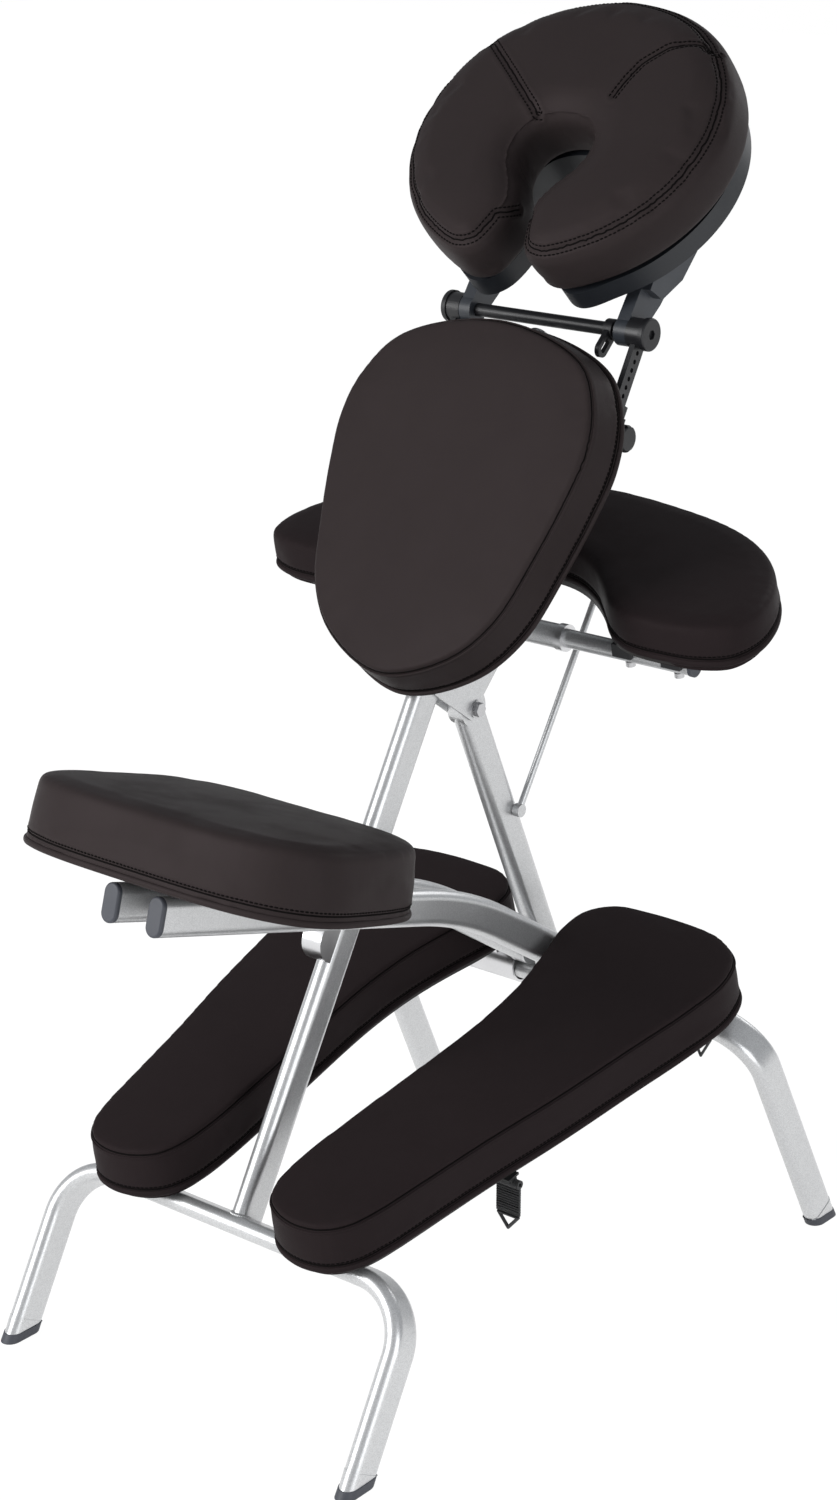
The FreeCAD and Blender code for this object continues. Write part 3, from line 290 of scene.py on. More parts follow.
# %% One helper that dresses a Principled shader
def finish_of(name, colour, roughness, metallic=0.0, effect=None, sizes=None, bump=0.0, depth=0.0002,
              spread=0.12, rough_spread=0.08, marks=0.0, sparkle=0.14, **sockets):
    """A material: colour varied by the effect's tone, roughness by its marks, and a bump of real depth."""
    mat = bpy.data.materials.new(name)
    mat.use_nodes = True
    tree = mat.node_tree
    shader = tree.nodes["Principled BSDF"]
    shader.inputs["Metallic"].default_value = metallic
    for label, value in sockets.items():
        shader.inputs[label.replace("_", " ")].default_value = value
    group = node(tree, "ShaderNodeGroup", node_tree=effect)
    for label, value in (sizes or {}).items():
        group.inputs[label].default_value = value
    dark = [c * (1 - spread) for c in colour] + [1]
    pale = [c * (1 + spread) for c in colour] + [1]
    ramp = node(tree, "ShaderNodeMix", {"Factor": group.outputs["Tone"]}, data_type="RGBA")
    ramp.inputs["A"].default_value = dark
    ramp.inputs["B"].default_value = pale
    hand = node(tree, "ShaderNodeGroup", node_tree=rubbed)
    shine = node(tree, "ShaderNodeMath", {0: hand.outputs["Patch"]}, operation="MULTIPLY_ADD")
    shine.inputs[1].default_value = rough_spread
    shine.inputs[2].default_value = roughness - rough_spread / 2
    tree.links.new(shine.outputs[0], shader.inputs["Roughness"])
    colour_out = ramp.outputs["Result"]
    if "Flake" in group.outputs:
        lift = node(tree, "ShaderNodeMapRange", {"Value": group.outputs["Flake"]}, To_Min=1 - sparkle,
                    To_Max=1 + sparkle)
        speck = node(tree, "ShaderNodeVectorMath", {0: colour_out, "Scale": lift.outputs[0]}, operation="SCALE")
        colour_out = speck.outputs[0]
    if marks:
        worn = node(tree, "ShaderNodeMath", {0: hand.outputs["Scratch"]}, operation="MULTIPLY")
        worn.inputs[1].default_value = marks
        paler = node(tree, "ShaderNodeMix", {"Factor": worn.outputs[0], "A": colour_out}, data_type="RGBA")
        paler.inputs["B"].default_value = [min(1, c * 1.8 + 0.02) for c in colour] + [1]
        colour_out = paler.outputs["Result"]
    tree.links.new(colour_out, shader.inputs["Base Color"])
    if bump:
        raised = group.outputs["Height" if "Height" in group.outputs else "Ripple"]
        relief = node(tree, "ShaderNodeBump", {"Height": raised}, Strength=bump, Distance=depth)
        tree.links.new(relief.outputs[0], shader.inputs["Normal"])
    return mat


def grained(name, colour, roughness, cells, fold, bump, **more):
    """A pebbled finish: cells per metre, and how deep the creases between them are."""
    return finish_of(name, colour, roughness, effect=grain, bump=bump,
                     sizes={"Cells per metre": cells, "Crease": fold}, **more)


def metal(name, colour, roughness, ripple, bump, depth, **more):
    """A bare metal with a fine ripple and hardly any sparkle."""
    return finish_of(name, colour, roughness, metallic=1.0, effect=flecks, bump=bump, depth=depth,
                     sizes={"Ripple per metre": ripple}, sparkle=0.03, **more)


# %% Vinyl, paint, metals, plastics, rubber and thread
VINYL = {"cells": 1050.0, "fold": 0.55, "bump": 0.22, "depth": 0.0003, "spread": 0.10,
         "Specular_Tint": (1.0, 0.84, 0.87, 1.0)}
vinyl = grained("brown_black_vinyl", (0.0320, 0.0250, 0.0250), 0.54, Specular_IOR_Level=0.08, **VINYL)
# The same vinyl again, made darker for the knee rests and the armrest: painted shade, not a darker kind of
# vinyl.
vinyl_painted_shade = grained("deep_black_vinyl", (0.0238, 0.0178, 0.0186), 0.56, Specular_IOR_Level=0.03, **VINYL)
silver = finish_of("silver_powder_coat", (0.66, 0.665, 0.67), 0.36, metallic=0.70, effect=flecks, bump=0.10,
                   spread=0.03, rough_spread=0.05, Coat_Weight=0.15, Coat_Roughness=0.25)
steel = metal("zinc_steel", (0.55, 0.55, 0.56), 0.32, 900.0, 0.03, 0.00005, spread=0.05, rough_spread=0.10)
alloy = metal("satin_aluminium", (0.70, 0.70, 0.71), 0.34, 700.0, 0.08, 0.0001, spread=0.04,
              rough_spread=0.12)
black_paint = grained("black_powder_coat", (0.016, 0.016, 0.018), 0.40, 1400.0, 0.2, 0.15, marks=0.15)
black = grained("black_nylon", (0.011, 0.011, 0.013), 0.48, 1700.0, 0.15, 0.18, marks=0.12)
slate = grained("slate_plastic", (0.036, 0.041, 0.050), 0.44, 1500.0, 0.2, 0.16, marks=0.2)
cap_grey = grained("grey_cap_rubber", (0.060, 0.064, 0.078), 0.55, 1300.0, 0.3, 0.2, marks=0.1)
rubber = grained("black_rubber", (0.020, 0.020, 0.021), 0.68, 1200.0, 0.3, 0.25)
board = grained("black_plywood", (0.022, 0.020, 0.019), 0.62, 500.0, 0.1, 0.3, depth=0.0003, spread=0.3)
tray_slate = grained("dark_slate_plastic", (0.010, 0.012, 0.016), 0.50, 1500.0, 0.2, 0.16, marks=0.2)
web = grained("black_webbing", (0.014, 0.014, 0.015), 0.72, 1400.0, 0.8, 0.6, depth=0.0004, Sheen_Weight=0.2)
# Dark thread for the stitches; the same finish colours each seam's dark line, where it is painted shade in the
# groove.
thread_and_shade_line = grained("dark_thread", (0.006, 0.005, 0.005), 0.75, 4000.0, 0.5, 0.2, depth=0.0001,
                 Specular_IOR_Level=0.04)
finishes = {"frame_paint": silver, "grey_plastic": cap_grey, "slate_plastic": slate, "black_plastic": black,
            "black_paint": black_paint, "leatherette": vinyl, "board": board, "steel": steel,
            "aluminium": alloy, "rubber": rubber, "webbing": web}
print("finishes:", sorted(finishes))

# %% Give every part of the fixed frame its finish
slot_of = {p["node"]: p["material_slot"] for p in frame["record"]["subparts"]}
special = {"height_bar_right": black_paint, "height_bar_left": black_paint, "strap_clip": rubber,
           "strap_ring": black_paint, "strap_keeper": black_paint, "face_platform": tray_slate,
           "stay_rod": silver, "rail_spacers": alloy}
for name, part in frame["nodes"].items():
    part.data.materials.clear()
    part.data.materials.append(special.get(name, finishes[slot_of[name]]))
print(len(slot_of), "parts painted in", len(set(slot_of.values())), "finishes")

# %% [markdown]
# ## Outlines
# A pad is cut from a flat pattern, so each one starts as a smooth closed line in
# its own plane. A few points are enough, because a curve through them
# stays fair. The line is then split into even steps, which lets everything that
# follows it, such as a welt or a row of stitches, keep an even pitch.

# %% Smooth closed lines in millimetres
def even_steps(ring, step):
    """A closed line split again at an even pitch close to step."""
    ring = np.asarray(ring, float)
    closed = np.vstack([ring, ring[:1]])
    run = np.r_[0, np.cumsum(np.linalg.norm(np.diff(closed, axis=0), axis=1))]
    count = max(8, int(round(run[-1] / step)))
    at = np.linspace(0, run[-1], count, endpoint=False)
    return np.stack([np.interp(at, run, closed[:, k]) for k in range(ring.shape[1])], 1)


def smooth_loop(points, step=2.0, between=24):
    """An even closed curve that passes through the points (centripetal Catmull-Rom)."""
    p = np.asarray(points, float)
    out = []
    for k in range(len(p)):
        a, b, c, d = p[k - 1], p[k], p[(k + 1) % len(p)], p[(k + 2) % len(p)]
        t0 = 0.0
        t1 = t0 + math.sqrt(np.linalg.norm(b - a)) + 1e-9
        t2 = t1 + math.sqrt(np.linalg.norm(c - b)) + 1e-9
        t3 = t2 + math.sqrt(np.linalg.norm(d - c)) + 1e-9
        for t in np.linspace(t1, t2, between, endpoint=False):
            ab = a * (t1 - t) / (t1 - t0) + b * (t - t0) / (t1 - t0)
            bc = b * (t2 - t) / (t2 - t1) + c * (t - t1) / (t2 - t1)
            cd = c * (t3 - t) / (t3 - t2) + d * (t - t2) / (t3 - t2)
            abc = ab * (t2 - t) / (t2 - t0) + bc * (t - t0) / (t2 - t0)
            bcd = bc * (t3 - t) / (t3 - t1) + cd * (t - t1) / (t3 - t1)
            out.append(abc * (t2 - t) / (t2 - t1) + bcd * (t - t1) / (t2 - t1))
    ring = even_steps(out, step)
    turned = np.roll(ring, -1, 0)
    area = np.sum(ring[:, 0] * turned[:, 1] - turned[:, 0] * ring[:, 1])
    return ring if area > 0 else ring[::-1].copy()


def inward(ring):
    """Unit directions to the inside at each point of an anticlockwise ring."""
    along = np.roll(ring, -1, 0) - np.roll(ring, 1, 0)
    side = np.stack([-along[:, 1], along[:, 0]], 1)
    return side / np.linalg.norm(side, axis=1)[:, None]


def offset(ring, inset, step=2.0):
    """The ring moved inwards by inset, or outwards where inset is negative."""
    return even_steps(ring + inward(ring) * inset, step)


def both_halves(half):
    """The whole outline from its right half, whose first and last points are on the middle line."""
    return half + [(-x, s) for x, s in half[-2:0:-1]]


# %% The six patterns
KNEE_RING = [(93, 90), (122, 84), (149, 90), (168, 108), (179, 138), (188, 184), (204, 272), (223, 360),
             (240, 458), (255, 545), (258, 600), (244, 641), (212, 665), (177, 673), (120, 675), (74, 668),
             (51, 646), (46, 609), (58, 555), (70, 495), (74, 425), (69, 338), (62, 249), (58, 173),
             (62, 127), (73, 104)]
ARM_HALF = [(0, 842), (83, 832), (167, 810), (223, 779), (264, 738), (290, 689), (298, 645), (289, 615),
            (262, 600), (222, 596), (182, 599), (150, 617), (120, 648), (88, 677), (48, 700), (0, 708)]
CHEST_MID, CHEST_LEN, CHEST_W = 713.4, 372.0, 310.0
CHEST_HALF = [(0.0, 0.0), (0.50, 0.08), (0.744, 0.20), (0.878, 0.38), (0.97, 0.56), (1.0, 0.68),
              (0.94, 0.80), (0.73, 0.92), (0.0, 1.0)]
FACE_MID, FACE_HALF_W, FACE_HALF_H = 1250.0, 178.0, 161.0
HOLE_EDGE = [(52, -153), (30, -146), (19, -123), (15, -95), (23, -71), (38, -49), (44, -26), (38, -4), (22, 7),
             (0, 10)]
SEAT_W, SEAT_DEPTH, SEAT_MID = 355.0, 251.0, 112.0
SEAT_SQUARE, SEAT_TAPER, SEAT_POINTS = 3.36, 0.08, 24


def seat_points():
    """A rounded rectangle, a little narrower at the front than at the back."""
    ring = []
    for k in range(SEAT_POINTS):
        c, s = math.cos(math.tau * k / SEAT_POINTS), math.sin(math.tau * k / SEAT_POINTS)
        deep = math.copysign(abs(s) ** (2 / SEAT_SQUARE), s)
        wide = math.copysign(abs(c) ** (2 / SEAT_SQUARE), c) * (1 - SEAT_TAPER * deep)
        ring.append((SEAT_W / 2 * wide, SEAT_MID + SEAT_DEPTH / 2 * deep))
    return ring


face_right = [(0, FACE_HALF_H)]
face_right += [(FACE_HALF_W * math.cos(math.radians(t)), FACE_HALF_H * math.sin(math.radians(t)))
               for t in range(72, -59, -13)]
face_right += HOLE_EDGE
outlines = {
    "seat": smooth_loop(seat_points()),
    "knee_right": smooth_loop(KNEE_RING),
    "knee_left": smooth_loop([(-x, s) for x, s in KNEE_RING]),
    "chest": smooth_loop(both_halves([(w * CHEST_W / 2, CHEST_MID + (t - 0.5) * CHEST_LEN)
                                      for w, t in CHEST_HALF])),
    "arm": smooth_loop(both_halves(ARM_HALF)),
    "face": smooth_loop(both_halves([(x, s + FACE_MID) for x, s in face_right])),
}
for name, ring in outlines.items():
    print(name, "outline", len(ring) * 2, "mm round, box", np.round(ring.max(0) - ring.min(0), 1))

# %% [markdown]
# ## Pads
# A pad is foam on a board under a vinyl cover. The cover pulls the foam's top edge
# into a roll, the middle stays proud, and the pull gathers the vinyl in soft
# wrinkles near the seams. Three ways were weighed: a sculpted block looks stiff, a
# pure cloth blow-up loses the pattern's line, and a rule alone looks machined. So
# the pad is built by rule first, with its edge roll, leaning wall and crown, then
# blown up a little as cloth with its move capped, and the seams are pinched in last.

# %% Distances inside an outline
BATCH, BESIDE = 4000, 3            # points at a time; mm within which a point counts as on the line


def inside_of(ring, xy):
    """For each point: distance inside the ring (negative outside) and the direction inwards."""
    ways = inward(ring)
    gap = np.empty(len(xy))
    way = np.empty((len(xy), 2))
    for k in range(0, len(xy), BATCH):
        part = xy[k:k + BATCH]
        step = ((part[:, None, :] - ring[None, :, :]) ** 2).sum(2)
        near = step.argmin(1)
        off = part - ring[near]
        flat = (off * ways[near]).sum(1)
        far = np.sqrt(step[np.arange(len(part)), near])
        gap[k:k + BATCH] = np.where(far > BESIDE, np.copysign(far, flat), flat)
        straight = off / np.maximum(far, 1e-6)[:, None] * np.sign(flat)[:, None]
        way[k:k + BATCH] = np.where((far > BESIDE)[:, None], straight, ways[near])
    return gap, way


def evaluated(obj, name):
    """A plain copy of obj's mesh with its modifiers applied."""
    graph = bpy.context.evaluated_depsgraph_get()
    mesh = bpy.data.meshes.new_from_object(obj.evaluated_get(graph), preserve_all_data_layers=False,
                                           depsgraph=graph)
    mesh.name = name
    return mesh


def corners(mesh):
    """The mesh's points as rows of an array, in metres."""
    co = np.empty(len(mesh.vertices) * 3)
    mesh.vertices.foreach_get("co", co)
    return co.reshape(-1, 3)


def set_corners(mesh, co):
    """Moves the mesh's points to the rows of an array."""
    mesh.vertices.foreach_set("co", np.ascontiguousarray(co, dtype=np.float32).ravel())
    mesh.update()


def relax(mesh, values, rounds):
    """Values on the vertices, evened out along the edges."""
    ends = np.empty(len(mesh.edges) * 2, int)
    mesh.edges.foreach_get("vertices", ends)
    ends = ends.reshape(-1, 2)
    count = np.bincount(ends.ravel(), minlength=len(values))[:, None].clip(1)
    values = values.reshape(len(values), -1).astype(float)
    for _ in range(rounds):
        total = np.zeros_like(values)
        np.add.at(total, ends[:, 0], values[ends[:, 1]])
        np.add.at(total, ends[:, 1], values[ends[:, 0]])
        values = 0.5 * values + 0.5 * total / count
    return values


# %% The rule: edge roll, wall and crown
FLARE = 0.7                        # the share of a wall's lean that goes outwards at the foot
BLOCK_INSET = 1.0                  # the block starts this much inside its outline, mm
EDGE_BAND, WALL_BAND = 12, 40      # how far in the edge's and the wall's moves fade out, mm


def smoothstep(t):
    """An even rise from 0 to 1 with soft ends."""
    t = np.clip(t, 0, 1)
    return t * t * (3 - 2 * t)


def pad_block(ring, low, high, cell):
    """A closed prism on the ring, cut again into even cells, in metres."""
    mesh = bpy.data.meshes.new("block")
    bm = bmesh.new()
    edge = offset(ring, BLOCK_INSET, 4.0)
    floor_ring = [bm.verts.new((x * MM, y * MM, low * MM)) for x, y in edge]
    top_ring = [bm.verts.new((x * MM, y * MM, high * MM)) for x, y in edge]
    bm.faces.new(floor_ring[::-1])
    bm.faces.new(top_ring)
    for k in range(len(edge)):
        n = (k + 1) % len(edge)
        bm.faces.new((floor_ring[k], floor_ring[n], top_ring[n], top_ring[k]))
    bmesh.ops.triangulate(bm, faces=[f for f in bm.faces if len(f.verts) > 4])
    bm.to_mesh(mesh)
    bm.free()
    obj = bpy.data.objects.new("block", mesh)
    bpy.context.scene.collection.objects.link(obj)
    cut = obj.modifiers.new("cells", "REMESH")
    cut.mode = "VOXEL"
    cut.voxel_size = cell * MM
    even = evaluated(obj, "even_block")
    bpy.data.objects.remove(obj)
    return even


def shape_by_rule(mesh, ring, low, high, roll, crown, reach, foot_roll=3.0, lean=0.0, bulge=0.0):
    """Rounds the edges, leans and bulges the wall, and crowns the top."""
    p = corners(mesh) / MM
    gap, way = inside_of(ring, p[:, :2])
    gap = np.maximum(gap - BLOCK_INSET, 0.0)
    move = -BLOCK_INSET * smoothstep(1 - gap / EDGE_BAND)
    down = high - p[:, 2]
    up = p[:, 2] - low
    wanted_gap, wanted_c = gap.copy(), p[:, 2].copy()
    for height, radius, sign in ((down, roll, -1), (up, foot_roll, 1)):
        near = (gap < radius) & (height < radius)
        a, b = gap[near] - radius, height[near] - radius
        size = np.maximum(np.hypot(a, b), 1e-6)
        wanted_gap[near] = radius + a / size * radius
        wanted_c[near] = (high if sign < 0 else low) + sign * (radius + b / size * radius)
    t = np.clip(up / (high - low), 0, 1)
    wall = lean * (t - FLARE) - bulge * np.sin(np.pi * t)
    shift = (wanted_gap - gap) + wall * smoothstep(1 - gap / WALL_BAND) + move
    p[:, :2] += way * shift[:, None]
    dome = 1 - np.exp(-(gap / reach) ** 1.3)
    rise = np.where(down < 0.6 * (high - low), dome, 0.0) * smoothstep(t * 1.6 - 0.5)
    rise = relax(mesh, rise, 40)[:, 0] * smoothstep(t * 1.5 - 0.5)
    p[:, 2] = wanted_c + crown * rise
    set_corners(mesh, p * MM)


# %% The blow-up: cloth with air in it, its move capped
COVER = {"use_pressure": True, "uniform_pressure_force": 4.0, "vertex_group_mass": "held", "quality": 4,
         "tension_stiffness": 18, "compression_stiffness": 10, "bending_stiffness": 0.6, "shrink_min": -0.006}
FRAMES, HELD_BAND = 20, 4          # frames of cloth; mm of the foot that stays put


def blow_up(mesh, low, cap):
    """Cloth on the pad's skin, held at its foot, then each point's move limited to cap mm."""
    rest = corners(mesh)
    obj = bpy.data.objects.new("blown", mesh)
    bpy.context.scene.collection.objects.link(obj)
    held = obj.vertex_groups.new(name="held")
    held.add([int(k) for k in np.flatnonzero(rest[:, 2] < (low + HELD_BAND) * MM)], 1.0, "REPLACE")
    cloth = obj.modifiers.new("cover", "CLOTH")
    cloth.settings.effector_weights.gravity = 0.0
    for key, value in COVER.items():
        setattr(cloth.settings, key, value)
    cloth.point_cache.frame_start = 1
    cloth.point_cache.frame_end = FRAMES
    for k in range(1, FRAMES + 1):
        bpy.context.scene.frame_set(k)
    blown = evaluated(obj, "blown")
    moved = corners(blown) - rest
    bpy.data.meshes.remove(blown)
    bpy.data.objects.remove(obj)
    bpy.context.scene.frame_set(1)
    far = np.linalg.norm(moved, axis=1)
    scale = np.minimum(1, cap * MM / np.maximum(far, 1e-9))
    soft = relax(mesh, moved * scale[:, None], 1)
    set_corners(mesh, rest + soft)
    return float(far.max() / MM), float(np.linalg.norm(soft, axis=1).max() / MM)


def finer(mesh):
    """One level of subdivision, applied."""
    obj = bpy.data.objects.new("finer", mesh)
    bpy.context.scene.collection.objects.link(obj)
    step = obj.modifiers.new("finer", "SUBSURF")
    step.levels = step.render_levels = 1
    made = evaluated(obj, mesh.name)
    bpy.data.objects.remove(obj)
    return made


# %% [markdown]
# ## Seams
# A real seam is three things: the cover is pulled in along it, two edges meet in a
# fine dark line, and a row of stitches lies beside it. The pull is a pinch of the
# pad's own surface. The dark line is painted shade: a dark bead laid in the groove
# stands in for the shadow of a crease narrower than the mesh can hold. The line
# and the stitches follow paths, so they are Geometry Nodes: one tree sweeps a
# small oval along a path, the other lays long beads on it.

# %% The pinch
PULL = 4                           # how many widths away a pinch is still felt


def pinch(mesh, path, depth, width, shoulder=0.25):
    """Pulls the surface in along a path by depth, with a slight swell at each side."""
    co = corners(mesh) / MM
    normals = np.empty(len(mesh.vertices) * 3)
    mesh.vertices.foreach_get("normal", normals)
    normals = normals.reshape(-1, 3)
    tree = KDTree(len(path))
    for k, q in enumerate(path):
        tree.insert(q, k)
    tree.balance()
    low, high = path.min(0) - width * (PULL + 1), path.max(0) + width * (PULL + 1)
    near = np.flatnonzero(((co > low) & (co < high)).all(1))
    for k in near:
        far = tree.find(co[k])[2] / width
        if far < PULL:
            co[k] += normals[k] * depth * (-math.exp(-far * far) + shoulder * math.exp(-(far - 2) ** 2))
    set_corners(mesh, co * MM)


# %% Geometry Nodes helpers
def geometry_tree(name, inputs):
    """An empty Geometry Nodes tree with named inputs, given as (label, kind, value)."""
    tree = bpy.data.node_groups.new(name, "GeometryNodeTree")
    tree.interface.new_socket("Geometry", in_out="INPUT", socket_type="NodeSocketGeometry")
    tree.interface.new_socket("Geometry", in_out="OUTPUT", socket_type="NodeSocketGeometry")
    for label, kind, value in inputs:
        socket = tree.interface.new_socket(label, in_out="INPUT", socket_type="NodeSocket" + kind)
        if value is not None:
            socket.default_value = value
    return tree, tree.nodes.new("NodeGroupInput"), tree.nodes.new("NodeGroupOutput")


def grown(tree, carrier, name, **values):
    """The tree run on a carrier mesh, turned into a plain mesh. Inputs are set by identifier."""
    obj = bpy.data.objects.new(name, carrier)
    bpy.context.scene.collection.objects.link(obj)
    step = obj.modifiers.new("grow", "NODES")
    step.node_group = tree
    for item in tree.interface.items_tree:
        key = item.name.replace(" ", "_")
        if getattr(item, "in_out", "") == "INPUT" and key in values:
            step[item.identifier] = values[key]
    mesh = evaluated(obj, name)
    bpy.data.objects.remove(obj)
    bpy.data.meshes.remove(carrier)
    return mesh


def lines_mesh(lines, closed=False):
    """One or more lines of points in mm as a carrier mesh of edges."""
    points, edges = [], []
    for line in lines:
        first, last = len(points), len(points) + len(line) - 1
        edges += [(k, k + 1) for k in range(first, last)] + ([(last, first)] if closed else [])
        points += [tuple(float(v) * MM for v in p) for p in line]
    mesh = bpy.data.meshes.new("lines")
    mesh.from_pydata(points, edges, [])
    return mesh


# %% Tree one: an oval bead swept along a path
bead, given, result = geometry_tree("bead_along_path", [
    ("Thick", "Float", 0.002), ("Tall", "Float", 0.002), ("Step", "Float", 0.003),
    ("Sides", "Int", 8), ("Finish", "Material", None)])
line = node(bead, "GeometryNodeMeshToCurve", {"Mesh": given.outputs["Geometry"]})
even = node(bead, "GeometryNodeResampleCurve", {"Curve": line.outputs[0], "Length": given.outputs["Step"]},
            mode="LENGTH")
upright = node(bead, "GeometryNodeSetCurveNormal", {"Curve": even.outputs[0]}, mode="Z_UP")
hoop = node(bead, "GeometryNodeCurvePrimitiveCircle", {"Resolution": given.outputs["Sides"]}, Radius=0.5)
size = node(bead, "ShaderNodeCombineXYZ", {"X": given.outputs["Thick"], "Y": given.outputs["Tall"]}, Z=1.0)
oval = node(bead, "GeometryNodeTransform", {"Geometry": hoop.outputs[0], "Scale": size.outputs[0]})
swept = node(bead, "GeometryNodeCurveToMesh", {"Curve": upright.outputs[0], "Profile Curve": oval.outputs[0]},
             Fill_Caps=True)
soft = node(bead, "GeometryNodeSetShadeSmooth", {"Geometry": swept.outputs[0]})
real = node(bead, "GeometryNodeRealizeInstances", {"Geometry": soft.outputs[0]})
dressed = node(bead, "GeometryNodeSetMaterial", {"Geometry": real.outputs[0],
                                                 "Material": given.outputs["Finish"]})
bead.links.new(dressed.outputs[0], result.inputs[0])

# %% Tree two: stitches laid end to end along a path
stitch, given, result = geometry_tree("stitches_along_path", [
    ("Pitch", "Float", 0.004), ("Length", "Float", 0.003), ("Width", "Float", 0.0008),
    ("Finish", "Material", None)])
line = node(stitch, "GeometryNodeMeshToCurve", {"Mesh": given.outputs["Geometry"]})
even = node(stitch, "GeometryNodeResampleCurve", {"Curve": line.outputs[0], "Length": given.outputs["Pitch"]},
            mode="LENGTH")
along = node(stitch, "GeometryNodeInputTangent")
faced = node(stitch, "FunctionNodeAlignRotationToVector", {"Vector": along.outputs[0]}, axis="X")
ball = node(stitch, "GeometryNodeMeshUVSphere", Segments=6, Rings=4, Radius=0.5)
size = node(stitch, "ShaderNodeCombineXYZ", {"X": given.outputs["Length"], "Y": given.outputs["Width"],
                                             "Z": given.outputs["Width"]})
laid = node(stitch, "GeometryNodeInstanceOnPoints", {"Points": even.outputs[0], "Instance": ball.outputs[0],
                                                     "Rotation": faced.outputs[0], "Scale": size.outputs[0]})
real = node(stitch, "GeometryNodeRealizeInstances", {"Geometry": laid.outputs[0]})
soft = node(stitch, "GeometryNodeSetShadeSmooth", {"Geometry": real.outputs[0]})
dressed = node(stitch, "GeometryNodeSetMaterial", {"Geometry": soft.outputs[0],
                                                   "Material": given.outputs["Finish"]})
stitch.links.new(dressed.outputs[0], result.inputs[0])
print("geometry trees:", bead.name, stitch.name)


# %% Finish a piece: place it and let it ride
def place(mesh, name, matrix, material, body, slot):
    """An object whose place is in its mesh, riding on a body of the frame."""
    if matrix is not None:
        mesh.transform(matrix)
    if material is not None:
        mesh.materials.clear()
        mesh.materials.append(material)
    obj = bpy.data.objects.new(name, mesh)
    mesh.name = name
    bpy.context.scene.collection.objects.link(obj)
    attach(obj, body)
    return obj


def loop_at(ring, inset, c):
    """The ring moved in by inset, at height c, as points in space."""
    flat = offset(ring, inset)
    return np.c_[flat, np.full(len(flat), float(c))]


def skin_tree(mesh):
    """A mesh as a tree that can be searched for its nearest place."""
    bm = bmesh.new()
    bm.from_mesh(mesh)
    tree = BVHTree.FromBMesh(bm)
    bm.free()
    return tree


def on_skin(mesh, points, lift=0.0):
    """The nearest places on the skin to some points, raised by lift mm."""
    tree = skin_tree(mesh)
    out = []
    for p in points:
        at, normal, _, _ = tree.find_nearest(Vector(p) * MM)
        out.append(np.array(at) / MM + np.array(normal) * lift)
    return np.array(out)


# %% [markdown]
# ## The margin under a pad
# Turned over, a pad shows its cover folded round the board's edge and stapled down.
# A cloth fold would cost much time for an edge that is seldom seen, so the margin is
# one closed strip whose section is carried round the outline. The staples repeat
# along a line, so the stitch tree lays them too.

# %% The vinyl's folded margin under a pad, and the staples that hold it
FOLD_THICK, FOLD_REACH = 0.8, 15.0
FOLD_IN, FOLD_UP, OVERLAP = 1.6, 1.5, 0.3      # its start inside the outline, into the foam, over the board
STAPLE_IN, STAPLE_SINK = 9.0, 0.2


def hem_under(name, ring, low, board_inset, board_low, matrix, material, body):
    """A thin closed strip from the pad's foot, round the board's edge and under it."""
    edge, end = board_inset - OVERLAP, board_inset + FOLD_REACH
    section = [(FOLD_IN, low + FOLD_UP), (edge, low + FOLD_UP), (edge, board_low), (end, board_low),
               (end, board_low - FOLD_THICK), (edge - FOLD_THICK, board_low - FOLD_THICK),
               (board_inset - FOLD_IN, low - FOLD_THICK), (FOLD_IN, low - FOLD_THICK)]
    ways = inward(ring)
    rows = [np.c_[(ring + ways * inset)[::2], np.full(len(ring[::2]), c)] * MM for inset, c in section]
    count, steps = len(rows[0]), len(rows)
    faces = []
    for k in range(steps):
        for j in range(count):
            n, m = (k + 1) % steps, (j + 1) % count
            faces.append((k * count + j, k * count + m, n * count + m, n * count + j))
    mesh = bpy.data.meshes.new(name)
    mesh.from_pydata([tuple(v) for row in rows for v in row], [], faces)
    bm = bmesh.new()
    bm.from_mesh(mesh)
    bmesh.ops.recalc_face_normals(bm, faces=bm.faces)
    bm.to_mesh(mesh)
    bm.free()
    place(mesh, name + "_hem", matrix, material, body, "leatherette")
    line = loop_at(ring, board_inset + STAPLE_IN, board_low - FOLD_THICK - STAPLE_SINK)
    wire = grown(stitch, lines_mesh([line], True), name + "_staples", Pitch=0.019, Length=0.0095,
                 Width=0.0012, Finish=steel)
    place(wire, name + "_staples", matrix, None, body, "steel")


# %% A seam is a pinch, a dark line in it, and rows of stitches beside it
ROW_WIDTH = 1.9                    # mm, of the dent that a row of stitches makes


def beside(mesh, path, shift, closed):
    """The path moved sideways along the skin by shift mm."""
    tree = skin_tree(mesh)
    out = []
    end = len(path) - 1
    for k, p in enumerate(path):
        before = path[k - 1] if closed else path[max(k - 1, 0)]
        after = path[(k + 1) % len(path)] if closed else path[min(k + 1, end)]
        normal = tree.find_nearest(Vector(p) * MM)[1]
        side = np.cross(np.array(normal), after - before)
        side /= max(np.linalg.norm(side), 1e-9)
        out.append(np.array(tree.find_nearest(Vector(p + side * shift) * MM)[0]) / MM)
    return np.array(out)


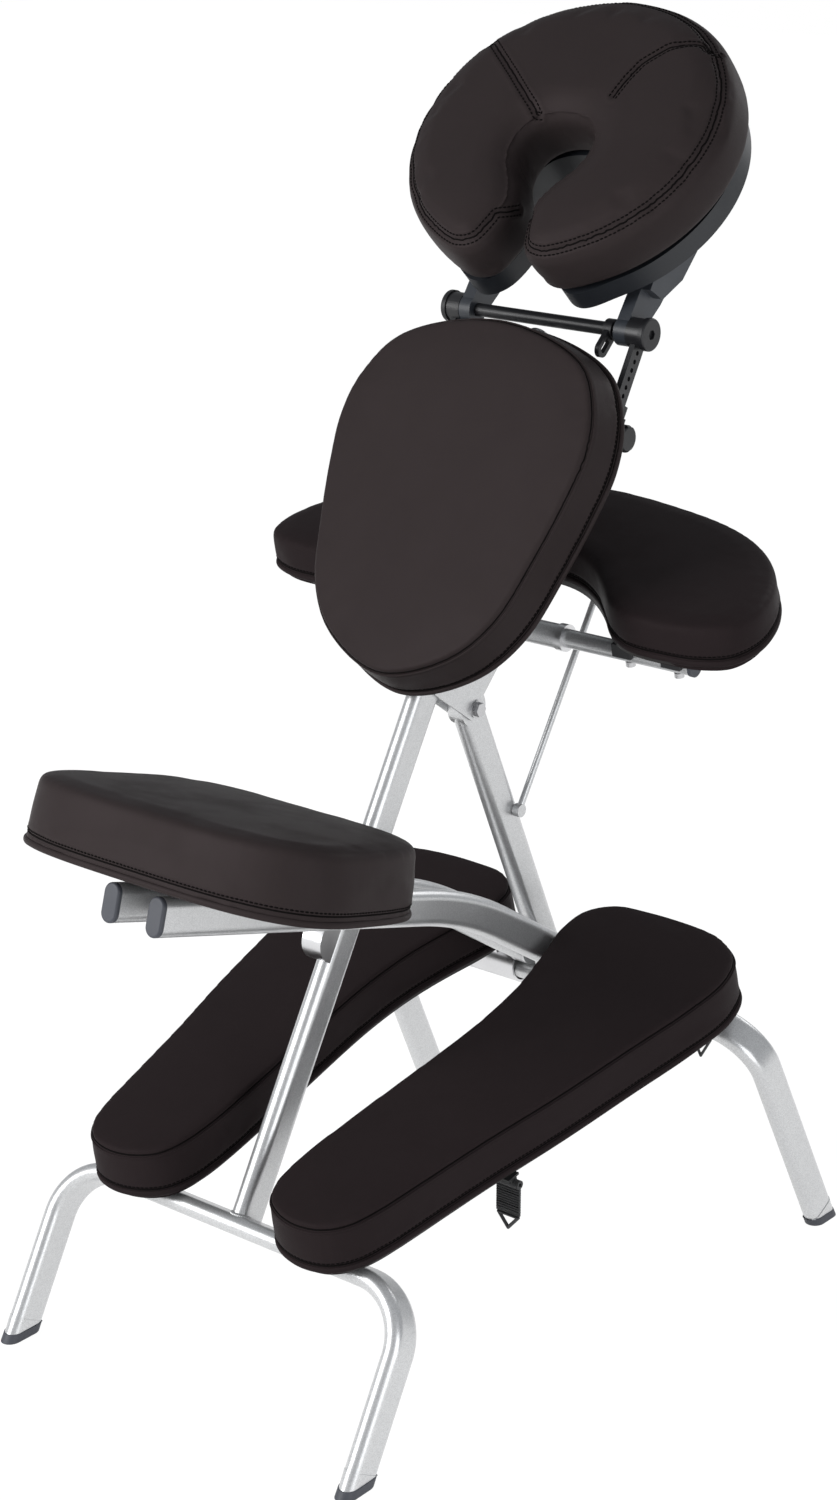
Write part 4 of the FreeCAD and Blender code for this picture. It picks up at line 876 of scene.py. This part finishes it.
def run_seam(mesh, path, closed, name, matrix, body, depth=1.2, width=2.3, rows=(), row_depth=0.2):
    """Pinches the skin, then lays the dark line of painted shade and the stitch rows on it."""
    path = on_skin(mesh, path)
    lanes = [beside(mesh, path, shift, closed) for shift in rows]
    pinch(mesh, path, depth, width)
    for lane in lanes:
        pinch(mesh, lane, row_depth, ROW_WIDTH, shoulder=0.1)
    # the seam's dark line: a dark bead in the groove, painted shade for a crease narrower than the mesh
    line = grown(bead, lines_mesh([on_skin(mesh, path, 0.05)], closed), name + "_seam", Thick=1.6 * MM,
                 Tall=1.6 * MM, Step=0.003, Sides=6, Finish=thread_and_shade_line)
    place(line, name + "_seam", matrix, None, body, "leatherette")
    for k, lane in enumerate(lanes):
        row = grown(stitch, lines_mesh([on_skin(mesh, lane, 0.2)], closed), name + "_stitches",
                    Pitch=0.0046, Length=0.0040, Width=0.0017, Finish=thread_and_shade_line)
        place(row, name + "_stitches_" + str(k + 1), matrix, None, body, "leatherette")


# %% [markdown]
# ## A whole pad
# All six pads are made in the same way, so one function makes any of them and the
# differences are its values. The steps keep the order of the workshop: cut the block,
# round it, let the cover pull, sew the top, sew the foot and fold the margin under.

# %% One function that makes a whole pad
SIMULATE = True
DIP_IN, DIP_ABOVE, DIP_WIDTH = 1.15, 2, 6.5        # the soft dip behind a top edge; its place in rolls
LIP_TALL, LIP_THICK, LIP_GAP, SEAM_UP = 6.5, 4.2, 0.3, 8.5
FOOT_SEAM_OUT, FOOT_ROW = -3, 2.6
WELT, WELT_OUT, WELT_DOWN = 1.9, 1.5, 2.4


def make_pad(name, node_name, body, matrix, low, high, material, roll, crown, reach, board=None, cell=5.0,
             cap=1.6, foot_roll=3.0, lean=0.0, bulge=0.0, top_seam=None, edge_dip=0.0,
             lip_up=LIP_TALL / 2 + LIP_GAP, extra=None):
    """The cushion and its top seam. One that lies on a board also gets a foot seam, lip, hem and staples."""
    ring = outlines[name]
    mesh = pad_block(ring, low, high, cell)
    shape_by_rule(mesh, ring, low, high, roll, crown, reach, foot_roll, lean, bulge)
    if SIMULATE:
        print(name, "moved by cloth, mm (free, kept):", np.round(blow_up(mesh, low, cap), 1))
    mesh = finer(mesh)
    if edge_dip:
        line = on_skin(mesh, loop_at(ring, roll * DIP_IN, high + DIP_ABOVE))
        pinch(mesh, line, edge_dip, DIP_WIDTH, shoulder=0.35)
    if top_seam:
        inset, depth = top_seam
        run_seam(mesh, loop_at(ring, inset, high - depth), True, name + "_top", matrix, body,
                 depth=1.6, width=2.2)
        line = on_skin(mesh, loop_at(ring, inset - WELT_OUT, high - depth - WELT_DOWN), 0.1)
        welt = grown(bead, lines_mesh([line], True), name + "_welt", Thick=WELT * MM, Tall=WELT * MM,
                     Step=0.003, Sides=8, Finish=material)
        place(welt, name + "_welt", matrix, None, body, "leatherette")
    if extra:
        extra(mesh, ring, high, matrix, body)
    if board:
        run_seam(mesh, loop_at(ring, FOOT_SEAM_OUT, low + SEAM_UP), True, name + "_foot", matrix, body,
                 rows=(FOOT_ROW,))
        line = loop_at(ring, LIP_GAP - lean * FLARE, low + lip_up)
        edge = grown(bead, lines_mesh([line], True), name + "_lip", Thick=LIP_THICK * MM,
                     Tall=LIP_TALL * MM, Step=0.003, Sides=12, Finish=material)
        place(edge, name + "_lip", matrix, None, body, "leatherette")
        hem_under(name, ring, low, *board, matrix, material, body)
    pad = place(mesh, name + "_pad", matrix, material, body, "leatherette")
    pad.data.polygons.foreach_set("use_smooth", [True] * len(pad.data.polygons))
    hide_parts(node_name)
    print(pad.name, len(pad.data.polygons), "faces")


# %% [markdown]
# ## The face cushion's cover
# The horseshoe's cover is sewn from three top panels and one side strip, and each
# seam has a row of stitches on both sides. A seam could be cut into the mesh, but
# then every change of outline would break it, so each one is a line that is laid on
# the finished skin. The panel seams run from the rim to the opening.

# %% The face cushion's cover: three top panels and a double-stitched seam all round
def stretch(points, step=2.5):
    """An open polyline split at an even pitch."""
    p = np.asarray(points, float)
    run = np.r_[0, np.cumsum(np.linalg.norm(np.diff(p, axis=0), axis=1))]
    at = np.linspace(0, run[-1], max(4, int(run[-1] / step)))
    return np.stack([np.interp(at, run, p[:, k]) for k in range(p.shape[1])], 1)


PANEL_SEAMS = {"left": [(-152, 92), (-130, 87), (-81, 48), (-40, 14), (-23, -6)],
               "right": [(140, 112), (113, 107), (86, 93), (66, 72), (58, 52), (52, 30)]}
ROUND_INSET, ROUND_DEPTH, ROW_GAP = 9.0, 11.0, 4.6
LOBE_CORNER, WALL_END = (27.0, -110.0), (15.0, -92.0)      # where the round seam leaves the top, and ends
WALL_DOWN, ABOVE = 2.4 * ROUND_DEPTH, 4.0
FACE_SEAM = {"depth": 2.3, "width": 2.8, "rows": (-ROW_GAP, ROW_GAP), "row_depth": 1.3}


def face_cover(mesh, ring, high, matrix, body):
    """All-round seam from one lobe's inner corner to the other, then the two panel seams."""
    line = offset(ring, ROUND_INSET)
    from_mid = line - np.array([0, FACE_MID])
    corner = [int(np.linalg.norm(from_mid - np.array([side * LOBE_CORNER[0], LOBE_CORNER[1]]), axis=1).argmin())
              for side in (1, -1)]
    turned = np.roll(line, -corner[0], 0)
    last = (corner[1] - corner[0]) % len(line)
    top = np.c_[turned[:last + 1], np.full(last + 1, high - ROUND_DEPTH)]
    ends = [(side * WALL_END[0], FACE_MID + WALL_END[1], high - WALL_DOWN) for side in (1, -1)]
    path = stretch(np.vstack([ends[:1], top, ends[1:]]), 2.0)
    run_seam(mesh, path, False, "face_round", matrix, body, **FACE_SEAM)
    for side, points in PANEL_SEAMS.items():
        flat = stretch([(x, s + FACE_MID) for x, s in points])
        path = np.c_[flat, np.full(len(flat), high + ABOVE)]
        run_seam(mesh, path, False, "face_panel_" + side, matrix, body, **FACE_SEAM)
    print("face seams:", 1 + len(PANEL_SEAMS), "with two rows each")


# %% [markdown]
# ## The six pads
# Heights are measured off each pad's own plane: the first two numbers are the
# underside and the top. The chest pad's wall leans out most, the armrest is the
# slimmest pad, and the face cushion is the roundest, because a face lies in it.

# %% Seat, knee rests, chest pad, arm pad and face cushion
make_pad("seat", "seat_cushion", "seat", SEAT_PLANE, 28.5, 94.0, vinyl, roll=9.0, crown=3.5, reach=60.0,
         board=(10.0, 25.0), cap=0.8, lean=5.0, bulge=1.5, lip_up=0.5, edge_dip=0.7)
# the knee rests wear the darker copy of the vinyl, which is painted shade
for side in ("right", "left"):
    make_pad("knee_" + side, "knee_cushion_" + side, "knee_rest_" + side, KNEE_PLANE, 162.6, 216.0, vinyl_painted_shade,
             roll=5.0, crown=2.6, reach=26.0, board=(7.0, 156.6), cap=0.9, lean=1.5, bulge=1.0,
             top_seam=(0.6, 4.0))
make_pad("chest", "chest_cushion", "chest_rest", POST_PLANE, 30.5, 81.4, vinyl, roll=6.0, crown=2.6,
         reach=30.0, board=(9.0, 29.0), cap=0.9, lean=7.0, bulge=1.0, top_seam=(2.6, 4.0))
# the armrest wears the darker copy of the vinyl, which is painted shade
make_pad("arm", "arm_cushion", "armrest", ARM_PLANE, 579.9, 623.0, vinyl_painted_shade, roll=7.5, crown=3.0, reach=34.0,
         board=(7.0, 573.9), cap=1.2, lean=1.2, bulge=1.2, edge_dip=0.6)
make_pad("face", "face_cushion", "cradle_head", FACE_PLANE, 330.5, 397.0, vinyl, roll=24.0, crown=4.0,
         reach=26.0, foot_roll=9.0, bulge=2.5, cell=3.6, cap=2.2, extra=face_cover)

# %% [markdown]
# ## Weld beads and the strap's weave
# A weld is a row of overlapping ripples where one tube lands on another. Its line is
# found rather than drawn: rays run down the outside of the landing tube, and where
# they meet the other tube is the corner that the weld fills. The strap under the
# right knee rest is woven, so thin ribs run across both of its faces, and two rows of
# stitches close its loop.

# %% Find the corner between two tubes and lay ripples in it
TUBE_HALF_W, TUBE_HALF_D = 9.5, 19.0
RAYS, RAY_START, PROUD = 90, 70.0, 0.4
NEAREST_HIT, OPEN_STEP = 4.0, 12.0         # mm: a closer hit is a stray, a wider step is a break


def weld_round(name, matrix, tube, body):
    """Ripples round the foot of the flat-oval tube that runs along the matrix's second axis."""
    tree = skin_tree(frame["nodes"][tube].data)
    down = matrix.to_3x3() @ Vector((0, -1, 0))
    radius = TUBE_HALF_W + PROUD
    found = []
    for k in range(RAYS):
        c, s = math.cos(math.tau * k / RAYS), math.sin(math.tau * k / RAYS)
        side = Vector((radius * c, RAY_START, radius * s + math.copysign(TUBE_HALF_D - TUBE_HALF_W, s)))
        at, _, _, far = tree.ray_cast(matrix @ (side * MM), down, 2 * RAY_START * MM)
        if at is not None and far > NEAREST_HIT * MM:
            found.append(np.array(at) / MM)
    steps = np.linalg.norm(np.diff(np.array(found + found[:1]), axis=0), axis=1)
    first = int(steps.argmax()) + 1
    closed = steps.max() < OPEN_STEP
    line = found if closed else found[first:] + found[:first]
    ripples = grown(stitch, lines_mesh([line], closed), name, Pitch=0.0018, Length=0.0034, Width=0.0050,
                    Finish=silver)
    place(ripples, name, None, None, body, "frame_paint")
    print(name, len(line), "points, widest step", round(float(steps.max()), 1), "mm")


weld_round("post_foot_weld", POST_PLANE, "rear_leg_tube", "rear_frame")
weld_round("strut_foot_weld", STRUT_PLANE, "front_leg_tube", "front_frame")

# %% The strap's ribs and the stitches that close its loop
STRAP_X, STRAP_W, STRAP_T, STRAP_DROP = 202.0, 28.0, 2.4, 34.0
RIB, RIB_START, TACK_DOWN, TACK_IN = 2.6, 4.0, (11.0, 24.0), 2.0
CLIP_X, CLIP_SHARE = 195.0, 0.66
PIN_ALONG, PIN_UP = 296.0, 148.6
strap_pin = KNEE_PLANE @ (Vector((STRAP_X, PIN_ALONG, PIN_UP)) * MM) / MM
ribs, tacks = [], []
for face in (-1, 1):
    y = strap_pin.y + face * STRAP_T / 2
    for k in range(int((STRAP_DROP - RIB_START) / RIB)):
        z = strap_pin.z - RIB_START - k * RIB
        ribs.append([(STRAP_X + share * STRAP_W, y, z) for share in (-0.49, -0.16, 0.16, 0.49)])
    for down in TACK_DOWN:
        tacks.append([(STRAP_X + side * (STRAP_W / 2 - TACK_IN), y + face * 0.6, strap_pin.z - down)
                      for side in (-1, 1)])
weave = grown(bead, lines_mesh(ribs), "strap_ribs", Thick=1.5 * MM, Tall=1.9 * MM, Step=0.004, Sides=6,
              Finish=web)
place(weave, "strap_ribs", None, None, "strap", "webbing")
# the wire clip, drawn in to lie under the pad's edge
clip = evaluated(frame["nodes"]["strap_clip"], "clip_under_edge")
at = corners(clip)
at[:, 0] = (CLIP_X + (at[:, 0] / MM - STRAP_X) * CLIP_SHARE) * MM
set_corners(clip, at)
clip = place(clip, "clip_under_edge", None, rubber, "knee_rest_right", "steel")
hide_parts("strap_clip")
sewn = grown(stitch, lines_mesh(tacks), "strap_stitches", Pitch=0.0030, Length=0.0024, Width=0.0008,
             Finish=thread_and_shade_line)
place(sewn, "strap_stitches", None, None, "strap", "webbing")
print(len(ribs), "ribs on the strap")

# %% [markdown]
# ## Foot plugs
# Each leg ends in a thin dark plug, and the silver paint runs down almost to the
# floor. The frame's boot is one block, so its hull is cut by a level plane: what is
# above the cut is drawn in flush with the tube and painted, and the rest is the plug.

# %% Split each boot at the plug's rim
PLUG_TOP, RIM = 9.5, 0.5           # the plug's height, and the slope of its rim
TUBE_IN, PLUG_IN = 1.5, 0.7        # how far the boot's wall is drawn in above and below the rim
PLUG_CREASE = 0.6                  # edges sharper than this, in radians, stay crisp


def foot_plugs(node_name, body):
    """The pair of feet of one frame: a plug with a thin rim, and painted tube above it."""
    boots = corners(frame["nodes"][node_name].data)
    bm = bmesh.new()
    for side in (1, -1):
        foot = [bm.verts.new(p) for p in boots[boots[:, 0] * side > 0]]
        hull = bmesh.ops.convex_hull(bm, input=foot)
        inner = [g for g in hull["geom_interior"] if isinstance(g, bmesh.types.BMVert)]
        bmesh.ops.delete(bm, geom=inner, context="VERTS")
    for height in (PLUG_TOP - RIM, PLUG_TOP):
        bmesh.ops.bisect_plane(bm, geom=bm.verts[:] + bm.edges[:] + bm.faces[:], dist=1e-6,
                               plane_co=(0, 0, height * MM), plane_no=(0, 0, 1))
    bmesh.ops.recalc_face_normals(bm, faces=bm.faces)
    bm.normal_update()
    for v in bm.verts:
        v.co -= v.normal * (TUBE_IN if v.co.z > (PLUG_TOP - RIM / 2) * MM else PLUG_IN) * MM
    bm.normal_update()
    bmesh.ops.split_edges(bm, edges=[e for e in bm.edges if e.calc_face_angle(0) > PLUG_CREASE])
    for face in bm.faces:
        face.material_index = int(face.calc_center_median().z > PLUG_TOP * MM)
        face.smooth = True
    mesh = bpy.data.meshes.new(node_name + "_plugs")
    bm.to_mesh(mesh)
    bm.free()
    for finish in (cap_grey, silver):
        mesh.materials.append(finish)
    plugs = place(mesh, node_name + "_plugs", None, None, body, "grey_plastic")
    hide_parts(node_name)
    print(plugs.name, len(mesh.polygons), "faces")


foot_plugs("rear_feet", "rear_frame")
foot_plugs("front_feet", "front_frame")
